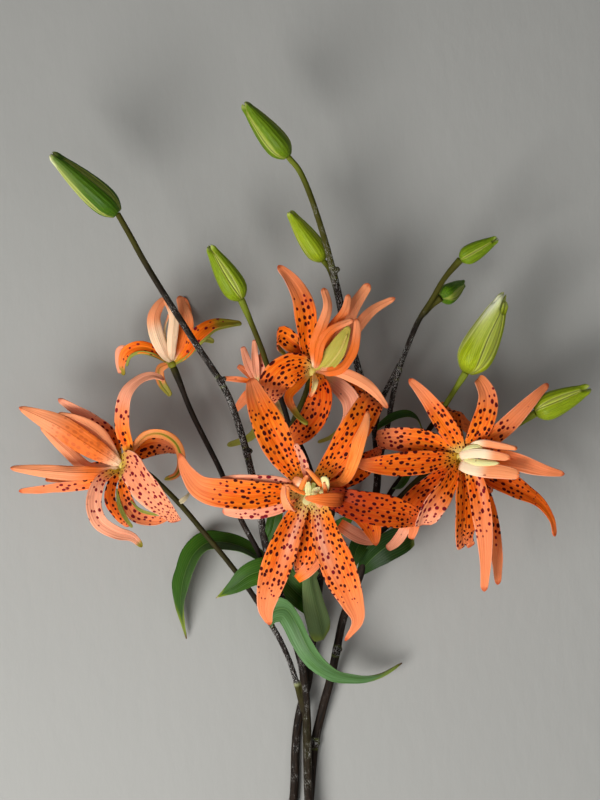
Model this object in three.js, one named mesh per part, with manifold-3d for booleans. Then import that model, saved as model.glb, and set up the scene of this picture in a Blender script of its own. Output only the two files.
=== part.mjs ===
// A bunch of three cut stems of a double tiger lily, lying on a table: six spotted orange blooms with
// swept-back petals, eight green buds, and lance-shaped leaves.
// Millimetres. +X runs across the bunch, +Y from the cut ends to the bud tips, +Z up from the table.
// The origin is on the table, under the middle of the bunch.

import * as THREE from "three";
import { mergeVertices } from "three/addons/utils/BufferGeometryUtils.js";
import Module from "manifold-3d";

const wasm = await Module();
wasm.setup();

// Driving dimensions.
const STEM_RADIUS = 2.6; // a stem at its cut end
const STEM_TOP_RADIUS = 1.5; // the same stem under its top bud
const PEDICEL_RADIUS = 1.45; // a flower stalk
const PEDICEL_FLARE = 1.35; // how much a stalk swells where it carries a flower or a bud
const FLARE_LENGTH = 0.12; // the share of a stalk that swells
const PETAL_THICKNESS = 1.0; // along the midrib
const EDGE_THICKNESS = 0.6; // at a petal's or a leaf's edge
const LEAF_THICKNESS = 0.9;
const CORE_RADIUS = 3.4; // the receptacle that a flower's petals grow from
const HEART_RADIUS = 2.6; // the knot that the petal-like stamens grow from
const CLEARANCE = 0.3; // the gap round a stem in what it carries
const STEM_SINK = 0.15; // how deep the table cuts into a stem that lies on it

// How finely the solids are cut.
const STEM_SIDES = 8;
const PEDICEL_SIDES = 6;
const STEM_STEP = 18;
const BLADE_STEP = 9.5;
const BUD_SIDES = 12;
const BUD_STEPS = 6;
const TOLERANCE = 0.04;

const COLOURS = {
  petal: new THREE.MeshStandardMaterial({ color: 0xf2702a, roughness: 0.5, metalness: 0 }),
  heart: new THREE.MeshStandardMaterial({ color: 0xf3d9a0, roughness: 0.5, metalness: 0 }),
  bud: new THREE.MeshStandardMaterial({ color: 0x7d9c3c, roughness: 0.5, metalness: 0 }),
  leaf: new THREE.MeshStandardMaterial({ color: 0x3a6b35, roughness: 0.45, metalness: 0 }),
  stem: new THREE.MeshStandardMaterial({ color: 0x2c241c, roughness: 0.6, metalness: 0 }),
};

// Each stem's main axis runs from its cut end to its top bud. `lying` is the height of a stem that rests on
// the table.
const lying = STEM_RADIUS * Math.cos(Math.PI / STEM_SIDES) - STEM_SINK;
const STEMS = [
  {
    name: "stem_left",
    axis: [
      [16, -214, lying], [13, -192, 4.2], [8, -170, 7.4], [4.6, -152, 8.6], [2.8, -134, 8.5],
      [2.2, -114, 8.6], [0.8, -94, 9], [-1.3, -79, 10], [-3.5, -64, 12], [-6.5, -52, 15], [-10.5, -37, 20],
      [-15.5, -19, 26], [-18.5, -7, 30], [-21, 8, 33], [-24.5, 25, 35.5], [-28, 40, 37], [-34.5, 61, 39],
      [-41, 75, 41], [-56, 98, 44], [-76, 130, 48], [-86, 148, 50], [-92, 158.5, 51],
    ],
    pedicels: [
      {
        carries: "left bloom",
        line: [
          [-4.5, -60, 12.5], [-9, -53.5, 14.5], [-16.5, -46, 17], [-26, -31.5, 20], [-36, -18, 23],
          [-49, -2, 26], [-62, 13.5, 29], [-74, 25.5, 33], [-80, 29.5, 36], [-86, 32, 38.6],
        ],
      },
      {
        carries: "back bloom",
        line: [
          [-9.5, -40.5, 18.5], [-12.5, -32, 18], [-17, -22, 19.5], [-23, -9.5, 21.5], [-31, 5.5, 23],
          [-42, 31.5, 24.5], [-55, 57.5, 25.5], [-62, 75, 26], [-65, 82, 26],
        ],
      },
    ],
  },
  {
    name: "stem_middle",
    axis: [
      [-17, -212, lying], [-13, -190, lying], [-9, -170, lying], [-6, -150, lying], [-4, -134, lying],
      [-3, -108, lying], [-0.7, -92, 2.9], [3, -79, 4.8], [4.5, -64, 7], [7, -44, 9], [9.5, -24, 11],
      [12.5, -4, 13], [16.5, 15.5, 16], [20, 33, 18], [22.5, 50, 20], [22.5, 65, 22], [22, 80, 24],
      [21.5, 93, 26], [19.5, 110, 29], [16.5, 124, 32], [13.5, 132, 35.5], [10.5, 135.5, 38],
    ],
    pedicels: [
      {
        carries: "front bloom",
        line: [[9.5, -24, 11], [8.5, -12, 22], [6, 4, 38], [4, 15, 50], [3.5, 19.5, 56.5]],
      },
      {
        carries: "fourth bud",
        line: [
          [12.5, -4, 13], [10.5, 12, 17], [5, 28, 21], [1.5, 37.5, 24], [-2.5, 45.5, 25], [-6, 51.5, 26],
          [-10, 64.5, 29], [-17, 81.5, 33], [-20, 90.5, 36], [-25, 103, 40], [-30.5, 116, 44],
        ],
      },
      {
        carries: "upper bloom",
        line: [[-5.5, 50.5, 26], [-3.5, 57, 31], [-0.5, 63, 36], [2.2, 70, 40], [4, 77, 43.5]],
      },
      {
        carries: "rear bloom",
        line: [[-1.5, 43.5, 24.5], [-8, 52, 21.5], [-15, 62, 20], [-20, 70, 21]],
      },
    ],
  },
  {
    name: "stem_right",
    axis: [
      [-5, -208, lying], [-2, -190, lying], [0.5, -170, lying], [2.5, -152, lying], [4.2, -134, lying],
      [5.2, -122, lying], [7, -107, 2.9], [10.5, -92, 4.3], [14.5, -77, 6.5], [18, -60, 9.5], [21, -45.5, 12],
      [25, -34.5, 14.5], [29, -24.5, 17], [32.5, -12, 19], [35.5, 5.5, 21], [38, 23, 23], [38, 35, 25],
      [37, 48, 28], [35, 61.5, 31], [30, 75.5, 33], [25, 93, 35], [20.5, 109.5, 37], [17.5, 123, 39],
      [15.5, 130.5, 40], [11.5, 145.5, 42], [5, 165.5, 45], [-1, 179.5, 47], [-7, 187, 49],
    ],
    pedicels: [
      {
        carries: "fifth bud",
        line: [
          [38, 31, 24], [40.5, 40.5, 25], [43, 51.5, 27], [44.5, 60.5, 28], [47.5, 75.5, 30], [51, 87, 32],
          [58.5, 105, 34], [65, 115.5, 36], [71.5, 126.5, 38], [79.5, 136, 40],
        ],
      },
      {
        carries: "sixth bud",
        line: [
          [38, 29, 23.5], [37.5, 49.5, 21.5], [38.5, 59.5, 21.5], [41.5, 68, 21.5], [46, 77, 22.5],
          [51, 87, 24.5], [58.5, 105, 28.5], [62.5, 110, 30.5], [65.5, 113.5, 32], [70, 117, 33.5],
        ],
      },
      {
        carries: "seventh bud",
        line: [
          [35, 0, 20.5], [45, 19, 22], [52, 29, 24], [62.5, 48, 28], [69, 58, 33], [75, 68, 40],
          [82, 79.5, 46],
        ],
      },
      {
        carries: "right bloom",
        line: [[35.5, 4, 21], [47, 14, 25], [58, 25, 29], [68, 32.5, 34], [74.5, 36, 39], [78, 37, 43]],
      },
      {
        carries: "eighth bud",
        line: [
          [33, -9, 19.5], [42, 0.5, 20], [64, 18, 23], [84, 33, 28], [104, 50, 36], [117, 59, 42],
        ],
      },
    ],
  },
];

// The small scars that fallen leaves left on the stems: where each is, and which way it points.
const SCARS = [
  { stem: "stem_left", at: [-27.6, 39, 37.2], towards: [1, 0.6, 0.4] },
  { stem: "stem_left", at: [-40.6, 75, 41], towards: [0.8, 0.6, 0.3] },
  { stem: "stem_left", at: [-3.2, -77, 10], towards: [-1, 0.3, 0.3] },
  { stem: "stem_left", at: [-16, -46.6, 17], towards: [0.7, -0.2, 0.8] },
  { stem: "stem_right", at: [17.6, -62, 9.3], towards: [1, 0.4, 0.4] },
  { stem: "stem_right", at: [6.4, -110, 2.9], towards: [1, 0.2, 0.6] },
  { stem: "stem_right", at: [16.2, 130, 40], towards: [1, 0.6, 0.3] },
  { stem: "stem_right", at: [47.5, 79, 30.6], towards: [1, 0.5, 0.2] },
];

// A bloom's petals. `line` is the midrib from the heart, `width` the widest place, and `face` where the spotted
// side looks at the root when that isn't along the flower's axis.
const BLOOMS = [
  {
    name: "front_bloom",
    heart: [3.5, 20.5, 60],
    axis: [0.05, -0.1, 1],
    petals: [
      { width: 12, line: [[-2, 2.5, 0], [-13, 17.5, 5], [-22, 32.5, 6], [-29.5, 46, 1], [-34, 54, -8]] },
      {
        width: 15,
        line: [[2.5, 2.5, 0], [14.5, 18, 5], [23, 31, 6], [30, 43, 1], [33, 45.5, -7], [34, 41, -14]],
      },
      {
        width: 15,
        line: [
          [-2.5, 0, 0], [-15, -1, 4], [-28, -2, 6], [-42, -1, 5], [-53, 1.5, 1], [-60, 8.5, -4],
          [-64.5, 18.5, -8],
        ],
      },
      { width: 16, line: [[-2, -2, -2], [-16, -6, -2], [-28, -8, -2], [-40, -9, -5], [-44, -8, -13]] },
      {
        width: 15,
        line: [[-1, -3, 0], [-5, -10, 3], [-12, -25, 6], [-18, -43, 4], [-22, -58, -2], [-21, -67, -10]],
      },
      {
        width: 13,
        line: [
          [0, -3, -2], [-2, -14, 0], [-3.5, -27, 1], [-6, -39, -1], [-5.5, -45, -6], [0, -41, -12],
          [5, -34, -15],
        ],
      },
      {
        width: 17,
        line: [
          [1, -3, 0], [5.5, -10, 3], [9.5, -25, 6], [15.5, -40, 5], [21.5, -55, 0], [24, -65, -5],
          [18, -75, -10],
        ],
      },
      {
        width: 16.5,
        line: [
          [2.5, -0.5, 0], [12, -2, 4], [26, -6.5, 5], [41, -11, 1], [51, -14, -8], [52, -20, -16],
          [46, -25, -20],
        ],
      },
      {
        width: 14,
        line: [[2, -2, -2], [11, -8, -1], [22, -17, -1], [31, -26, -5], [26, -27, -11], [18, -23, -14]],
      },
      { width: 13, line: [[-0.5, 2.5, -2], [-3, 10, -2], [-7, 18, -3], [-11, 23, -9], [-15, 20, -15]] },
      { width: 13, line: [[2, 1, -2], [10, 4, -2], [21, 9, -6], [30, 15, -13], [36, 21, -20]] },
    ],
    heartPetals: [
      {
        width: 5, face: [0, 0, 1],
        line: [[1.5, 0.5, 5], [9, 7, 10], [17, 18, 14], [24, 29.5, 15], [29.5, 38.5, 12]],
      },
      {
        width: 5, face: [0, 0, 1],
        line: [[0, 0, 5], [-8, 2, 8], [-13, 1, 10], [-15, -4, 12], [-12, -8.5, 11], [-8.5, -9, 9]],
      },
      { width: 3.5, face: [0, 0, 1], line: [[0, 0, 5], [4, 5, 9], [0.5, 9.5, 12], [-3, 13.5, 11]] },
      { width: 3.5, face: [0, 0, 1], line: [[1, 0, 5], [5.5, -2, 9], [6.5, 2, 12], [6, 5.5, 13]] },
      { width: 6, face: [0, 0, 1], line: [[0, 0, 5], [-4, 3, 9], [-8, 5, 11], [-12, 5.5, 10]] },
      { width: 6.5, face: [0, 0, 1], line: [[0, 0, 5], [4, 3, 9], [8.5, 6.5, 11], [10, 8, 9]] },
      {
        width: 9, face: [0, 0, 1],
        line: [[0, 0, 5], [8, -3.5, 8], [14, -5, 11], [11, -4.5, 15], [4, -4, 16], [-3, -3.5, 15]],
      },
      { width: 5, face: [0, 0, 1], line: [[0, 0, 5], [-1, -5, 8], [-3, -9, 9]] },
      { width: 5, face: [0, 0, 1], line: [[0, 0, 5], [3, -6, 8], [6.5, -10, 9]] },
      { width: 5, face: [0, 1, 1], line: [[0, 0, 5], [-1, 1, 9], [-1.5, 1.5, 14]] },
    ],
  },
  {
    name: "left_bloom",
    heart: [-90, 33, 40],
    axis: [-0.95, 0.2, 0.25],
    petals: [
      {
        width: 7.5, face: [-0.3, -0.2, 1],
        line: [
          [2.5, 3.5, 0], [-1.5, 17.5, 4], [-1, 30, 6], [2.5, 38.5, 6], [9, 44, 4], [15.5, 44.5, 2],
          [21, 42.5, 0],
        ],
      },
      {
        width: 6.5, face: [0, 0.3, 1],
        line: [[-1, 1, -1], [-5, 14, -5], [-14, 21, -7], [-23, 27.5, -7], [-32, 33, -6]],
      },
      {
        width: 12.5, face: [0, 0.2, -1],
        line: [[-1, 0, 1], [-10, 5.5, 6], [-20, 12, 8.5], [-31, 19, 8.5], [-42, 24.5, 7], [-51.5, 28.8, 4]],
      },
      { width: 6, face: [0, 0.2, -1], line: [[-1, 1, 0], [-11, 15.5, 5], [-22, 22.5, 7], [-32, 25.5, 7]] },
      { width: 6.5, face: [0, 0, -1], line: [[-2, 0, -1], [-17, -1.5, -3], [-29, 8, -2], [-41, 19.5, -1]] },
      {
        width: 6.5, face: [0, 0, -1],
        line: [[-2, -1, 1], [-9, -3.5, 4], [-23.5, -3.5, 6], [-41, -2, 5], [-56, -1, 2]],
      },
      {
        width: 5.5, face: [0, -0.3, 1],
        line: [[-2, -1, -1], [-9, -7, -4], [-23.5, -10.5, -6], [-38.5, -12, -7], [-52.5, -13.3, -8]],
      },
      {
        width: 8, face: [-0.4, 0, 1],
        line: [
          [-2, -1, 1], [-10.5, -7, 8], [-14.5, -18, 12], [-11, -28.5, 12], [-2, -34, 9], [6, -36.5, 5],
          [9.5, -40.5, 1],
        ],
      },
      {
        width: 6.5, face: [0, 0, -1],
        line: [[0, -2, -1], [-6, -10.5, -2], [-5.5, -20, -4], [0, -28, -7], [3, -31.5, -10]],
      },
      {
        width: 14, face: [-0.2, 0.2, 1],
        line: [[0, -0.5, 2], [4, 0, 9], [11.5, -8.5, 15], [19, -17.5, 16], [26, -26.5, 12], [28, -30, 5]],
      },
      {
        width: 7, face: [0.2, 0.2, 1],
        line: [[0, -2, 0], [1, -14, -2], [7, -24, -4], [17, -26.8, -5], [24.5, -24, -5]],
      },
      {
        width: 8, face: [0, -0.3, 1],
        line: [
          [1, 1, 0], [6, 9, 2], [12, 14, 4], [20, 15.5, 4], [28, 9.5, 1], [30, 0, -3], [26, -6.5, -5],
          [20.5, -7.5, -5],
        ],
      },
      { width: 7, face: [0, 0.2, 1], line: [[1, 0, 1], [8, 6.5, 0], [17, 7, 0], [25, 4.5, -3]] },
      {
        width: 15,
        line: [[0, 0, -2], [1, 4, -14], [6, 7, -27], [16, 7, -37], [28, 4, -39.9], [38, 2, -39]],
      },
      { width: 10, line: [[-1, 0, -2], [-10, -3, -12], [-25, -6, -19], [-40, -8, -21]] },
    ],
    heartPetals: [],
  },
  {
    name: "right_bloom",
    heart: [80, 37, 46],
    axis: [0.55, -0.05, 0.83],
    petals: [
      {
        width: 12.5,
        line: [[-2, 0, 0], [-12, -1.5, 4], [-25, -3, 7], [-38, -3.5, 9], [-48, -3.5, 10], [-55, -2.5, 9]],
      },
      { width: 13, line: [[-2, 1, 0], [-10, 5, 2], [-19, 8, 3], [-30, 9, 3], [-39, 9, -1], [-43, 9, -8]] },
      {
        width: 12,
        line: [[-1, -2, 0], [-5, -9, 6], [-11, -16.5, 10], [-18, -25.5, 11], [-21, -31, 7], [-20, -33, 1]],
      },
      {
        width: 13,
        line: [[-2, -2, -1], [-8, -8, 0], [-16, -14, -1], [-24, -22, -5], [-28, -31, -11], [-26, -40, -16]],
      },
      {
        width: 14,
        line: [[0.5, -2, -1], [1, -10, 2], [1.5, -22, 4], [1, -34, 3], [0.5, -43, -2], [3, -44, -9]],
      },
      { width: 9, line: [[1.5, -2, 0], [6, -10, 6], [9.5, -25, 10], [12, -46, 8], [11, -67, 1]] },
      { width: 8, line: [[2, -2, -1], [9, -13, 0], [14, -31, 1], [17.5, -49, -2], [17, -64, -8]] },
      {
        width: 10,
        line: [[2, -1, -1], [13, -8, 0], [26, -15, 0], [38, -22, -4], [45, -31, -8], [47, -40, -10]],
      },
      { width: 9, line: [[2, 0, 0], [14, 0, 3], [28, -2.5, 6], [41, -6.5, 5], [51, -8.5, 1]] },
      {
        width: 10.5,
        line: [[1.5, 1.5, 0], [9, 6, 3], [19, 13, 5], [29, 23, 5], [37, 31, 3], [43, 36.5, -1]],
      },
      { width: 11.5, line: [[0.5, 2, 0], [6, 9, 4], [11, 20, 7], [12.5, 30, 5], [8.5, 38.5, 1]] },
      {
        width: 11,
        line: [[-0.5, 2, 0], [-3, 8, 4], [-9, 17, 6], [-15, 26, 6], [-21, 33.5, 4], [-26.5, 39, 0]],
      },
      {
        width: 11,
        line: [
          [0, 2, -2], [0, 9, -2], [-2, 18, -3], [-3, 25, -8], [3, 25, -18], [9, 19, -29], [14, 10, -39],
          [19, 0, -45.5], [22, -8, -45.9],
        ],
      },
      { width: 8, line: [[1.5, -1.5, -2], [9, -9, -3], [14, -15, -6], [16, -12, -12]] },
    ],
    heartPetals: [
      {
        width: 5.5, face: [0, 0, 1],
        line: [[2.5, 0, 4], [5, 6, 7], [10, 7.5, 11], [18, 5.5, 16], [26, 4.5, 20]],
      },
      {
        width: 6.5, face: [0, 0, 1],
        line: [[2.5, 0, 4], [4, 2.5, 8], [10, 2.2, 12], [16, 1.5, 16], [22, 0.5, 19]],
      },
      { width: 4.5, face: [0, 0, 1], line: [[2.5, 0, 4], [5, -1.8, 8], [11, -2.4, 11], [18, -2.6, 14]] },
      {
        width: 8, face: [0, 0, 1],
        line: [[2.5, 0, 4], [2, -4, 8], [10, -5.5, 11], [19, -6, 15], [27, -8.5, 18]],
      },
    ],
  },
  {
    name: "upper_bloom",
    heart: [5.5, 80, 46],
    axis: [0.45, 0.65, 0.6],
    petals: [
      {
        width: 10, face: [0.3, -0.2, 1],
        line: [[0, 2, 0], [-3.5, 13, 5], [-4, 25, 8], [-6, 36.5, 8], [-11.5, 46, 6], [-18, 52, 3]],
      },
      {
        width: 5.5, face: [0, 0, -1],
        line: [[0.5, 2, 2], [1, 13, 13], [4.5, 22, 17], [7.5, 32, 18], [4, 40.5, 16]],
      },
      { width: 4.5, line: [[1, 2, 1], [3.5, 10.5, 7], [9.5, 21.5, 10], [14.5, 29.5, 10], [16.5, 38, 9]] },
      {
        width: 7, face: [0, 0, -1],
        line: [[1, 2, 0], [8.5, 10.5, 2], [16, 23, 4], [21, 33, 5], [27.5, 43, 5]],
      },
      {
        width: 6, face: [0, 0, -1],
        line: [[2, 1, 0], [13.5, 8, 0], [21, 20.5, 2], [29.5, 30, 3], [41, 36.5, 2]],
      },
      {
        width: 5, face: [0, 0, -1],
        line: [[1, 1, 1], [3, 5, 10], [6, 14.5, 16], [12.5, 22.5, 19], [20.5, 26.5, 17]],
      },
      {
        width: 6.5, face: [0, 0, -1],
        line: [[1, 0, 1], [7, 2, 8], [14, 6, 13], [20, 15.5, 14], [20.5, 25.5, 13]],
      },
      {
        width: 12, face: [0, 0, -1],
        line: [[1, 1, 1], [4, 5, 6], [9, 11.5, 10], [13.5, 18, 11], [16.5, 23, 11]],
      },
      {
        width: 6, face: [0, 0, -1],
        line: [[2, 0, 1], [6, 0.5, 6], [14, -1, 11], [22, -4.5, 14.5], [30, -10, 17], [37, -18.5, 16.5]],
      },
      {
        width: 17, face: [0.2, 0.2, 1],
        line: [
          [-1.4, 0.3, 0.5], [-4, 2.5, 4], [-11.5, 1.5, 8], [-18, -3.5, 8], [-21.5, -10.5, 4],
          [-23, -18.5, -3],
        ],
      },
      {
        width: 14, face: [0, 0, 1],
        line: [[0.5, -2, 1], [2.5, -5, 5], [4, -12, 8], [2, -20, 7], [-3.5, -28, 4], [-12, -35, -2]],
      },
      {
        width: 5.5, face: [0, 0, 1],
        line: [[-1.2, -1.5, -0.5], [-6, -6, 4], [-9.5, -13, 9], [-7, -20, 12], [-2.5, -27, 13]],
      },
      { width: 4, line: [[0.5, -1.5, 2], [1.5, -5, 10], [-0.5, -10, 12], [-2.5, -14.5, 11]] },
      {
        width: 10, face: [0, 0, 1],
        line: [
          [-1.5, 1.5, 0], [-5, 9.5, 1], [-10.5, 14, 2], [-16, 18, -1], [-17.5, 13, -7], [-13.5, 8, -9],
        ],
      },
      {
        width: 10, face: [0, 0, -1],
        line: [
          [2, -1, -1], [13.5, -7, -4], [18.5, -14.5, -7], [16.5, -24.5, -10], [11, -32.5, -12],
          [2.5, -35, -13],
        ],
      },
      { width: 8, face: [0, 0, 1], line: [[2, -1, -1], [9, -3.5, -2], [18.5, -9, -3], [27.5, -13, -6]] },
    ],
    heartPetals: [],
  },
  {
    name: "back_bloom",
    heart: [-65.5, 84, 26],
    axis: [0.05, 0.97, 0.2],
    petals: [
      {
        width: 6.5, face: [0, 0.4, 1],
        line: [[-1, 0.5, 0], [-9.5, 6.5, 5], [-16.5, 8, 7], [-22.5, 5.5, 6], [-25, 0.5, 3], [-24.5, -6, 0]],
      },
      {
        width: 5.5, face: [0, 0, -1],
        line: [[-1, 0, -1], [-6.5, -3, -4], [-6, -9.5, -6], [-1, -16.5, -6]],
      },
      {
        width: 7.5, face: [0, 0, -1],
        line: [[-0.5, 1, 1], [-3.5, 4.5, 5], [-8, 14, 7], [-9.5, 22.5, 8], [-6.5, 29, 7], [-3, 32.5, 5]],
      },
      {
        width: 5.5, face: [0, 0, -1],
        line: [[0, 1.5, 1], [0, 6, 7], [0.5, 14, 10], [1, 24, 11], [-3, 33, 10]],
      },
      { width: 4, line: [[0, 1.5, 0], [-1.5, 6.5, 1], [-4, 16.5, 2], [-1.5, 25, 2]] },
      {
        width: 8, face: [0, 0, -1],
        line: [[0.5, 1, 0], [3, 5, 2], [6, 13, 4], [7.5, 21.5, 4], [5.5, 28.5, 3], [3.5, 34, 2]],
      },
      {
        width: 7, face: [0, 0.3, 1],
        line: [[1, 0, 0], [7.5, 5.5, 4], [12.5, 13.5, 5], [19.5, 19, 3], [27, 20.5, 1], [35, 20, -1]],
      },
      { width: 5, face: [0, 0, 1], line: [[1, 0.5, -1], [9, 8, -5], [15, 12.5, -6], [21, 11, -7]] },
      {
        width: 9,
        line: [[0, 0.5, -1], [1, 9, -11], [3, 18, -19], [6, 28, -25], [8, 36, -25.9], [9.5, 42, -25]],
      },
    ],
    heartPetals: [],
  },
  {
    name: "rear_bloom",
    heart: [-22, 73, 22],
    axis: [-0.45, 0.8, 0.3],
    petals: [
      { width: 5.5, face: [0, 0, 1], line: [[0, 1, 0], [-1, 6, 4], [-2.5, 12, 6], [-3.5, 22, 6]] },
      { width: 6.5, face: [0, 0, 1], line: [[0.5, 1, 0], [2, 5, 1], [2, 11, 1], [1.5, 17.5, 0]] },
      { width: 4.5, face: [0, 0, 1], line: [[-0.5, 1, 0], [-3, 5.5, 2], [-5.5, 11.5, 3], [-8.5, 19.5, 3]] },
      { width: 4, face: [0, 0, 1], line: [[-1, 0.5, 0], [-4, 5, 1], [-7, 7.5, 1], [-11, 10, 1]] },
      { width: 3.5, face: [0, 0, 1], line: [[-1, 0.5, 0], [-6, 2, -1], [-12, 2.8, -2], [-20, 3.5, -2]] },
      { width: 5, face: [0, 0, 1], line: [[-1, -0.5, 0], [-5, -4, -2], [-8.5, -8.5, -3], [-12, -13, -4]] },
      { width: 8, face: [0, 0, 1], line: [[0.5, -1, -1], [4, -6, -4], [9, -13.5, -7], [14, -21.5, -9]] },
      {
        width: 6, face: [0, 0, 1],
        line: [[-0.5, -1, -1], [-3, -8, -6], [-5, -17.5, -10], [-8, -26.5, -10], [-17, -30.5, -8]],
      },
      {
        width: 9,
        line: [[0, 0, -2], [4, 3, -9], [10, 8, -16], [17, 15, -21], [23, 22, -21.9], [27, 27, -21]],
      },
    ],
    heartPetals: [],
  },
];

// A bud from where its stalk ends to its tip, and its widest place.
const BUDS = [
  { name: "bud_1", base: [-92, 158.5, 51], tip: [-125, 188, 56], width: 14 },
  { name: "bud_2", base: [-7, 187, 49], tip: [-29, 213.5, 54], width: 13 },
  { name: "bud_3", base: [10.5, 135.5, 38], tip: [-6.5, 160, 42], width: 11 },
  { name: "bud_4", base: [-30.5, 116, 44], tip: [-46.5, 142.5, 50], width: 12.5 },
  { name: "bud_5", base: [79.5, 136, 40], tip: [98, 146.5, 43], width: 10.5 },
  { name: "bud_6", base: [70, 117, 33.5], tip: [82, 125, 22], width: 10.5 },
  { name: "bud_7", base: [82, 79.5, 46], tip: [102, 115.5, 52], width: 18 },
  { name: "bud_8", base: [117, 59, 42], tip: [144.5, 71.5, 44], width: 13.5 },
];

// A leaf's midrib from its base on the stem, and which way its upper face looks at the base.
const LEAVES = [
  {
    name: "leaf_arched", width: 12, face: [0, 1, 0.6],
    line: [
      [-15, -17, 25], [-19, -12.5, 18], [-29.5, -6.5, 14], [-43.5, -3, 15], [-53, -12, 15], [-59, -27, 12],
      [-60.5, -40, 8], [-59, -56, 2.5],
    ],
  },
  {
    name: "leaf_pointed", width: 12, face: [0, 0, 1],
    line: [[-15, -18, 26], [-19, -20, 31], [-27, -23, 32], [-35, -29, 30], [-43.5, -34.5, 27]],
  },
  {
    name: "leaf_low", width: 13, face: [0, 0, 1],
    line: [[6.5, -40, 9], [-1, -34, 13], [-9, -25, 14], [-15, -12, 13], [-19, 0, 11]],
  },
  {
    name: "leaf_folded", width: 14, face: [0, 0, -1],
    line: [[9.5, -19, 12], [6, -24, 18], [7, -37, 21], [9.5, -47, 20], [11, -55, 16], [13, -51, 11]],
  },
  {
    name: "leaf_front", width: 13, face: [-0.2, 0.2, 1],
    line: [
      [-17, -44, 17.5], [-13, -42, 23], [-6, -47, 28], [1, -55, 30], [9, -64, 28], [19, -71, 23],
      [31.5, -73.5, 18], [41.5, -71, 13], [50, -66, 8],
    ],
  },
  {
    name: "leaf_dark", width: 15, face: [0, 0, 1],
    line: [[30, -23, 17], [36, -17, 23], [45, -9.5, 27], [53, -3, 26], [58, 2, 21]],
  },
  {
    name: "leaf_behind", width: 4.5, face: [0, 0.6, 1],
    line: [[36.5, 50, 28], [41, 54, 32], [47, 57.5, 33], [53, 58.5, 32], [58, 56, 29], [61, 50, 26]],
  },
  {
    name: "leaf_thin", width: 5, face: [0.6, -0.4, 1],
    line: [[46, 20.5, 22], [49, 22, 26], [53, 28, 28], [57, 36, 27]],
  },
  {
    name: "leaf_hidden", width: 8, face: [0, 0, 1],
    line: [[-18.5, -6, 30], [-15, 0, 33], [-13, 8, 34], [-9, 19, 32]],
  },
  {
    name: "leaf_bright", width: 8, face: [0, 0, 1],
    line: [[12.5, -5, 13], [16, -2, 18], [21, 3, 23], [28, 9, 26]],
  },
  {
    name: "leaf_short", width: 10, face: [0, 0, 1],
    line: [[34.2, -4, 20], [30, -6, 25], [27, -11, 28], [26, -18, 28], [27, -25, 26]],
  },
  {
    name: "leaf_small", width: 6.5, face: [0, 0, 1],
    line: [[11.5, -12, 12], [15, -17, 16], [16, -24, 18], [16.5, -31, 17]],
  },
  {
    name: "bract", width: 2.6, face: [0, 0, 1],
    line: [[-62, 13.5, 29], [-60, 15, 32], [-58, 17, 33.5], [-56, 19.5, 33.5]],
  },
];

// A closed surface through rings that each hold the same number of points, capped at both ends. A side named
// in `mirrored` has its squares cut along the other diagonal.
function loft(rings, mirrored = []) {
  const sides = rings[0].length;
  const positions = rings.flat().flatMap((p) => [p.x, p.y, p.z]);
  const index = [];
  for (let r = 0; r + 1 < rings.length; r += 1) {
    for (let k = 0; k < sides; k += 1) {
      const a = r * sides + k;
      const b = r * sides + ((k + 1) % sides);
      if (mirrored.includes(k)) index.push(a, a + sides, b, b, a + sides, b + sides);
      else index.push(a, b + sides, b, a, a + sides, b + sides);
    }
  }
  const last = (rings.length - 1) * sides;
  for (let k = 1; k + 1 < sides; k += 1) {
    index.push(0, k, k + 1);
    index.push(last, last + k + 1, last + k);
  }
  const geometry = new THREE.BufferGeometry();
  geometry.setAttribute("position", new THREE.Float32BufferAttribute(positions, 3));
  geometry.setIndex(index);
  return geometry;
}

// A geometry as a solid that can be joined and cut.
function solidOf(geometry) {
  geometry.deleteAttribute("normal");
  geometry.deleteAttribute("uv");
  const merged = mergeVertices(geometry, 1e-4);
  const mesh = new wasm.Mesh({
    numProp: 3,
    vertProperties: merged.attributes.position.array,
    triVerts: new Uint32Array(merged.index.array),
  });
  return new wasm.Manifold(mesh);
}

function join(solids) {
  return solids.reduce((sum, solid) => sum.add(solid));
}

// The outer skin of a solid's largest body: no sealed hollow, and nothing that a cut left loose.
function wholeBody(solid) {
  const bodies = solid.simplify(TOLERANCE).decompose();
  return bodies.reduce((best, body) => (body.volume() > best.volume() ? body : best));
}

function vectors(points) {
  return points.map((p) => new THREE.Vector3(...p));
}

function smooth(points) {
  return new THREE.CatmullRomCurve3(vectors(points), false, "catmullrom", 0.5);
}

// Places along a curve, each with its tangent and a normal that starts as near as it can to `face` and then
// turns with the curve and not about it.
function framesAlong(points, steps, face) {
  const curve = smooth(points);
  const frames = [];
  let normal = new THREE.Vector3(...face);
  for (let i = 0; i <= steps; i += 1) {
    const share = i / steps;
    const tangent = curve.getTangentAt(share);
    normal = normal.clone().addScaledVector(tangent, -normal.dot(tangent)).normalize();
    frames.push({ share, point: curve.getPointAt(share), tangent, normal });
  }
  return frames;
}

// A round stem. `radiusAt` gives its radius at a share of its length.
function tube(points, sides, radiusAt, grow = 0) {
  const steps = Math.max(3, Math.round(smooth(points).getLength() / STEM_STEP));
  const rings = framesAlong(points, steps, [0, 0, 1]).map(({ share, point, tangent, normal }) => {
    const across = new THREE.Vector3().crossVectors(tangent, normal);
    const radius = radiusAt(share) + grow;
    const beyond = share === 1 ? grow : 0;
    return Array.from({ length: sides }, (_, k) => {
      const angle = ((k + 0.5) / sides) * 2 * Math.PI;
      return point.clone()
        .addScaledVector(tangent, beyond)
        .addScaledVector(normal, radius * Math.cos(angle))
        .addScaledVector(across, -radius * Math.sin(angle));
    });
  });
  return solidOf(loft(rings));
}

const stemRadius = (share) => THREE.MathUtils.lerp(STEM_RADIUS, STEM_TOP_RADIUS, share);

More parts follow.
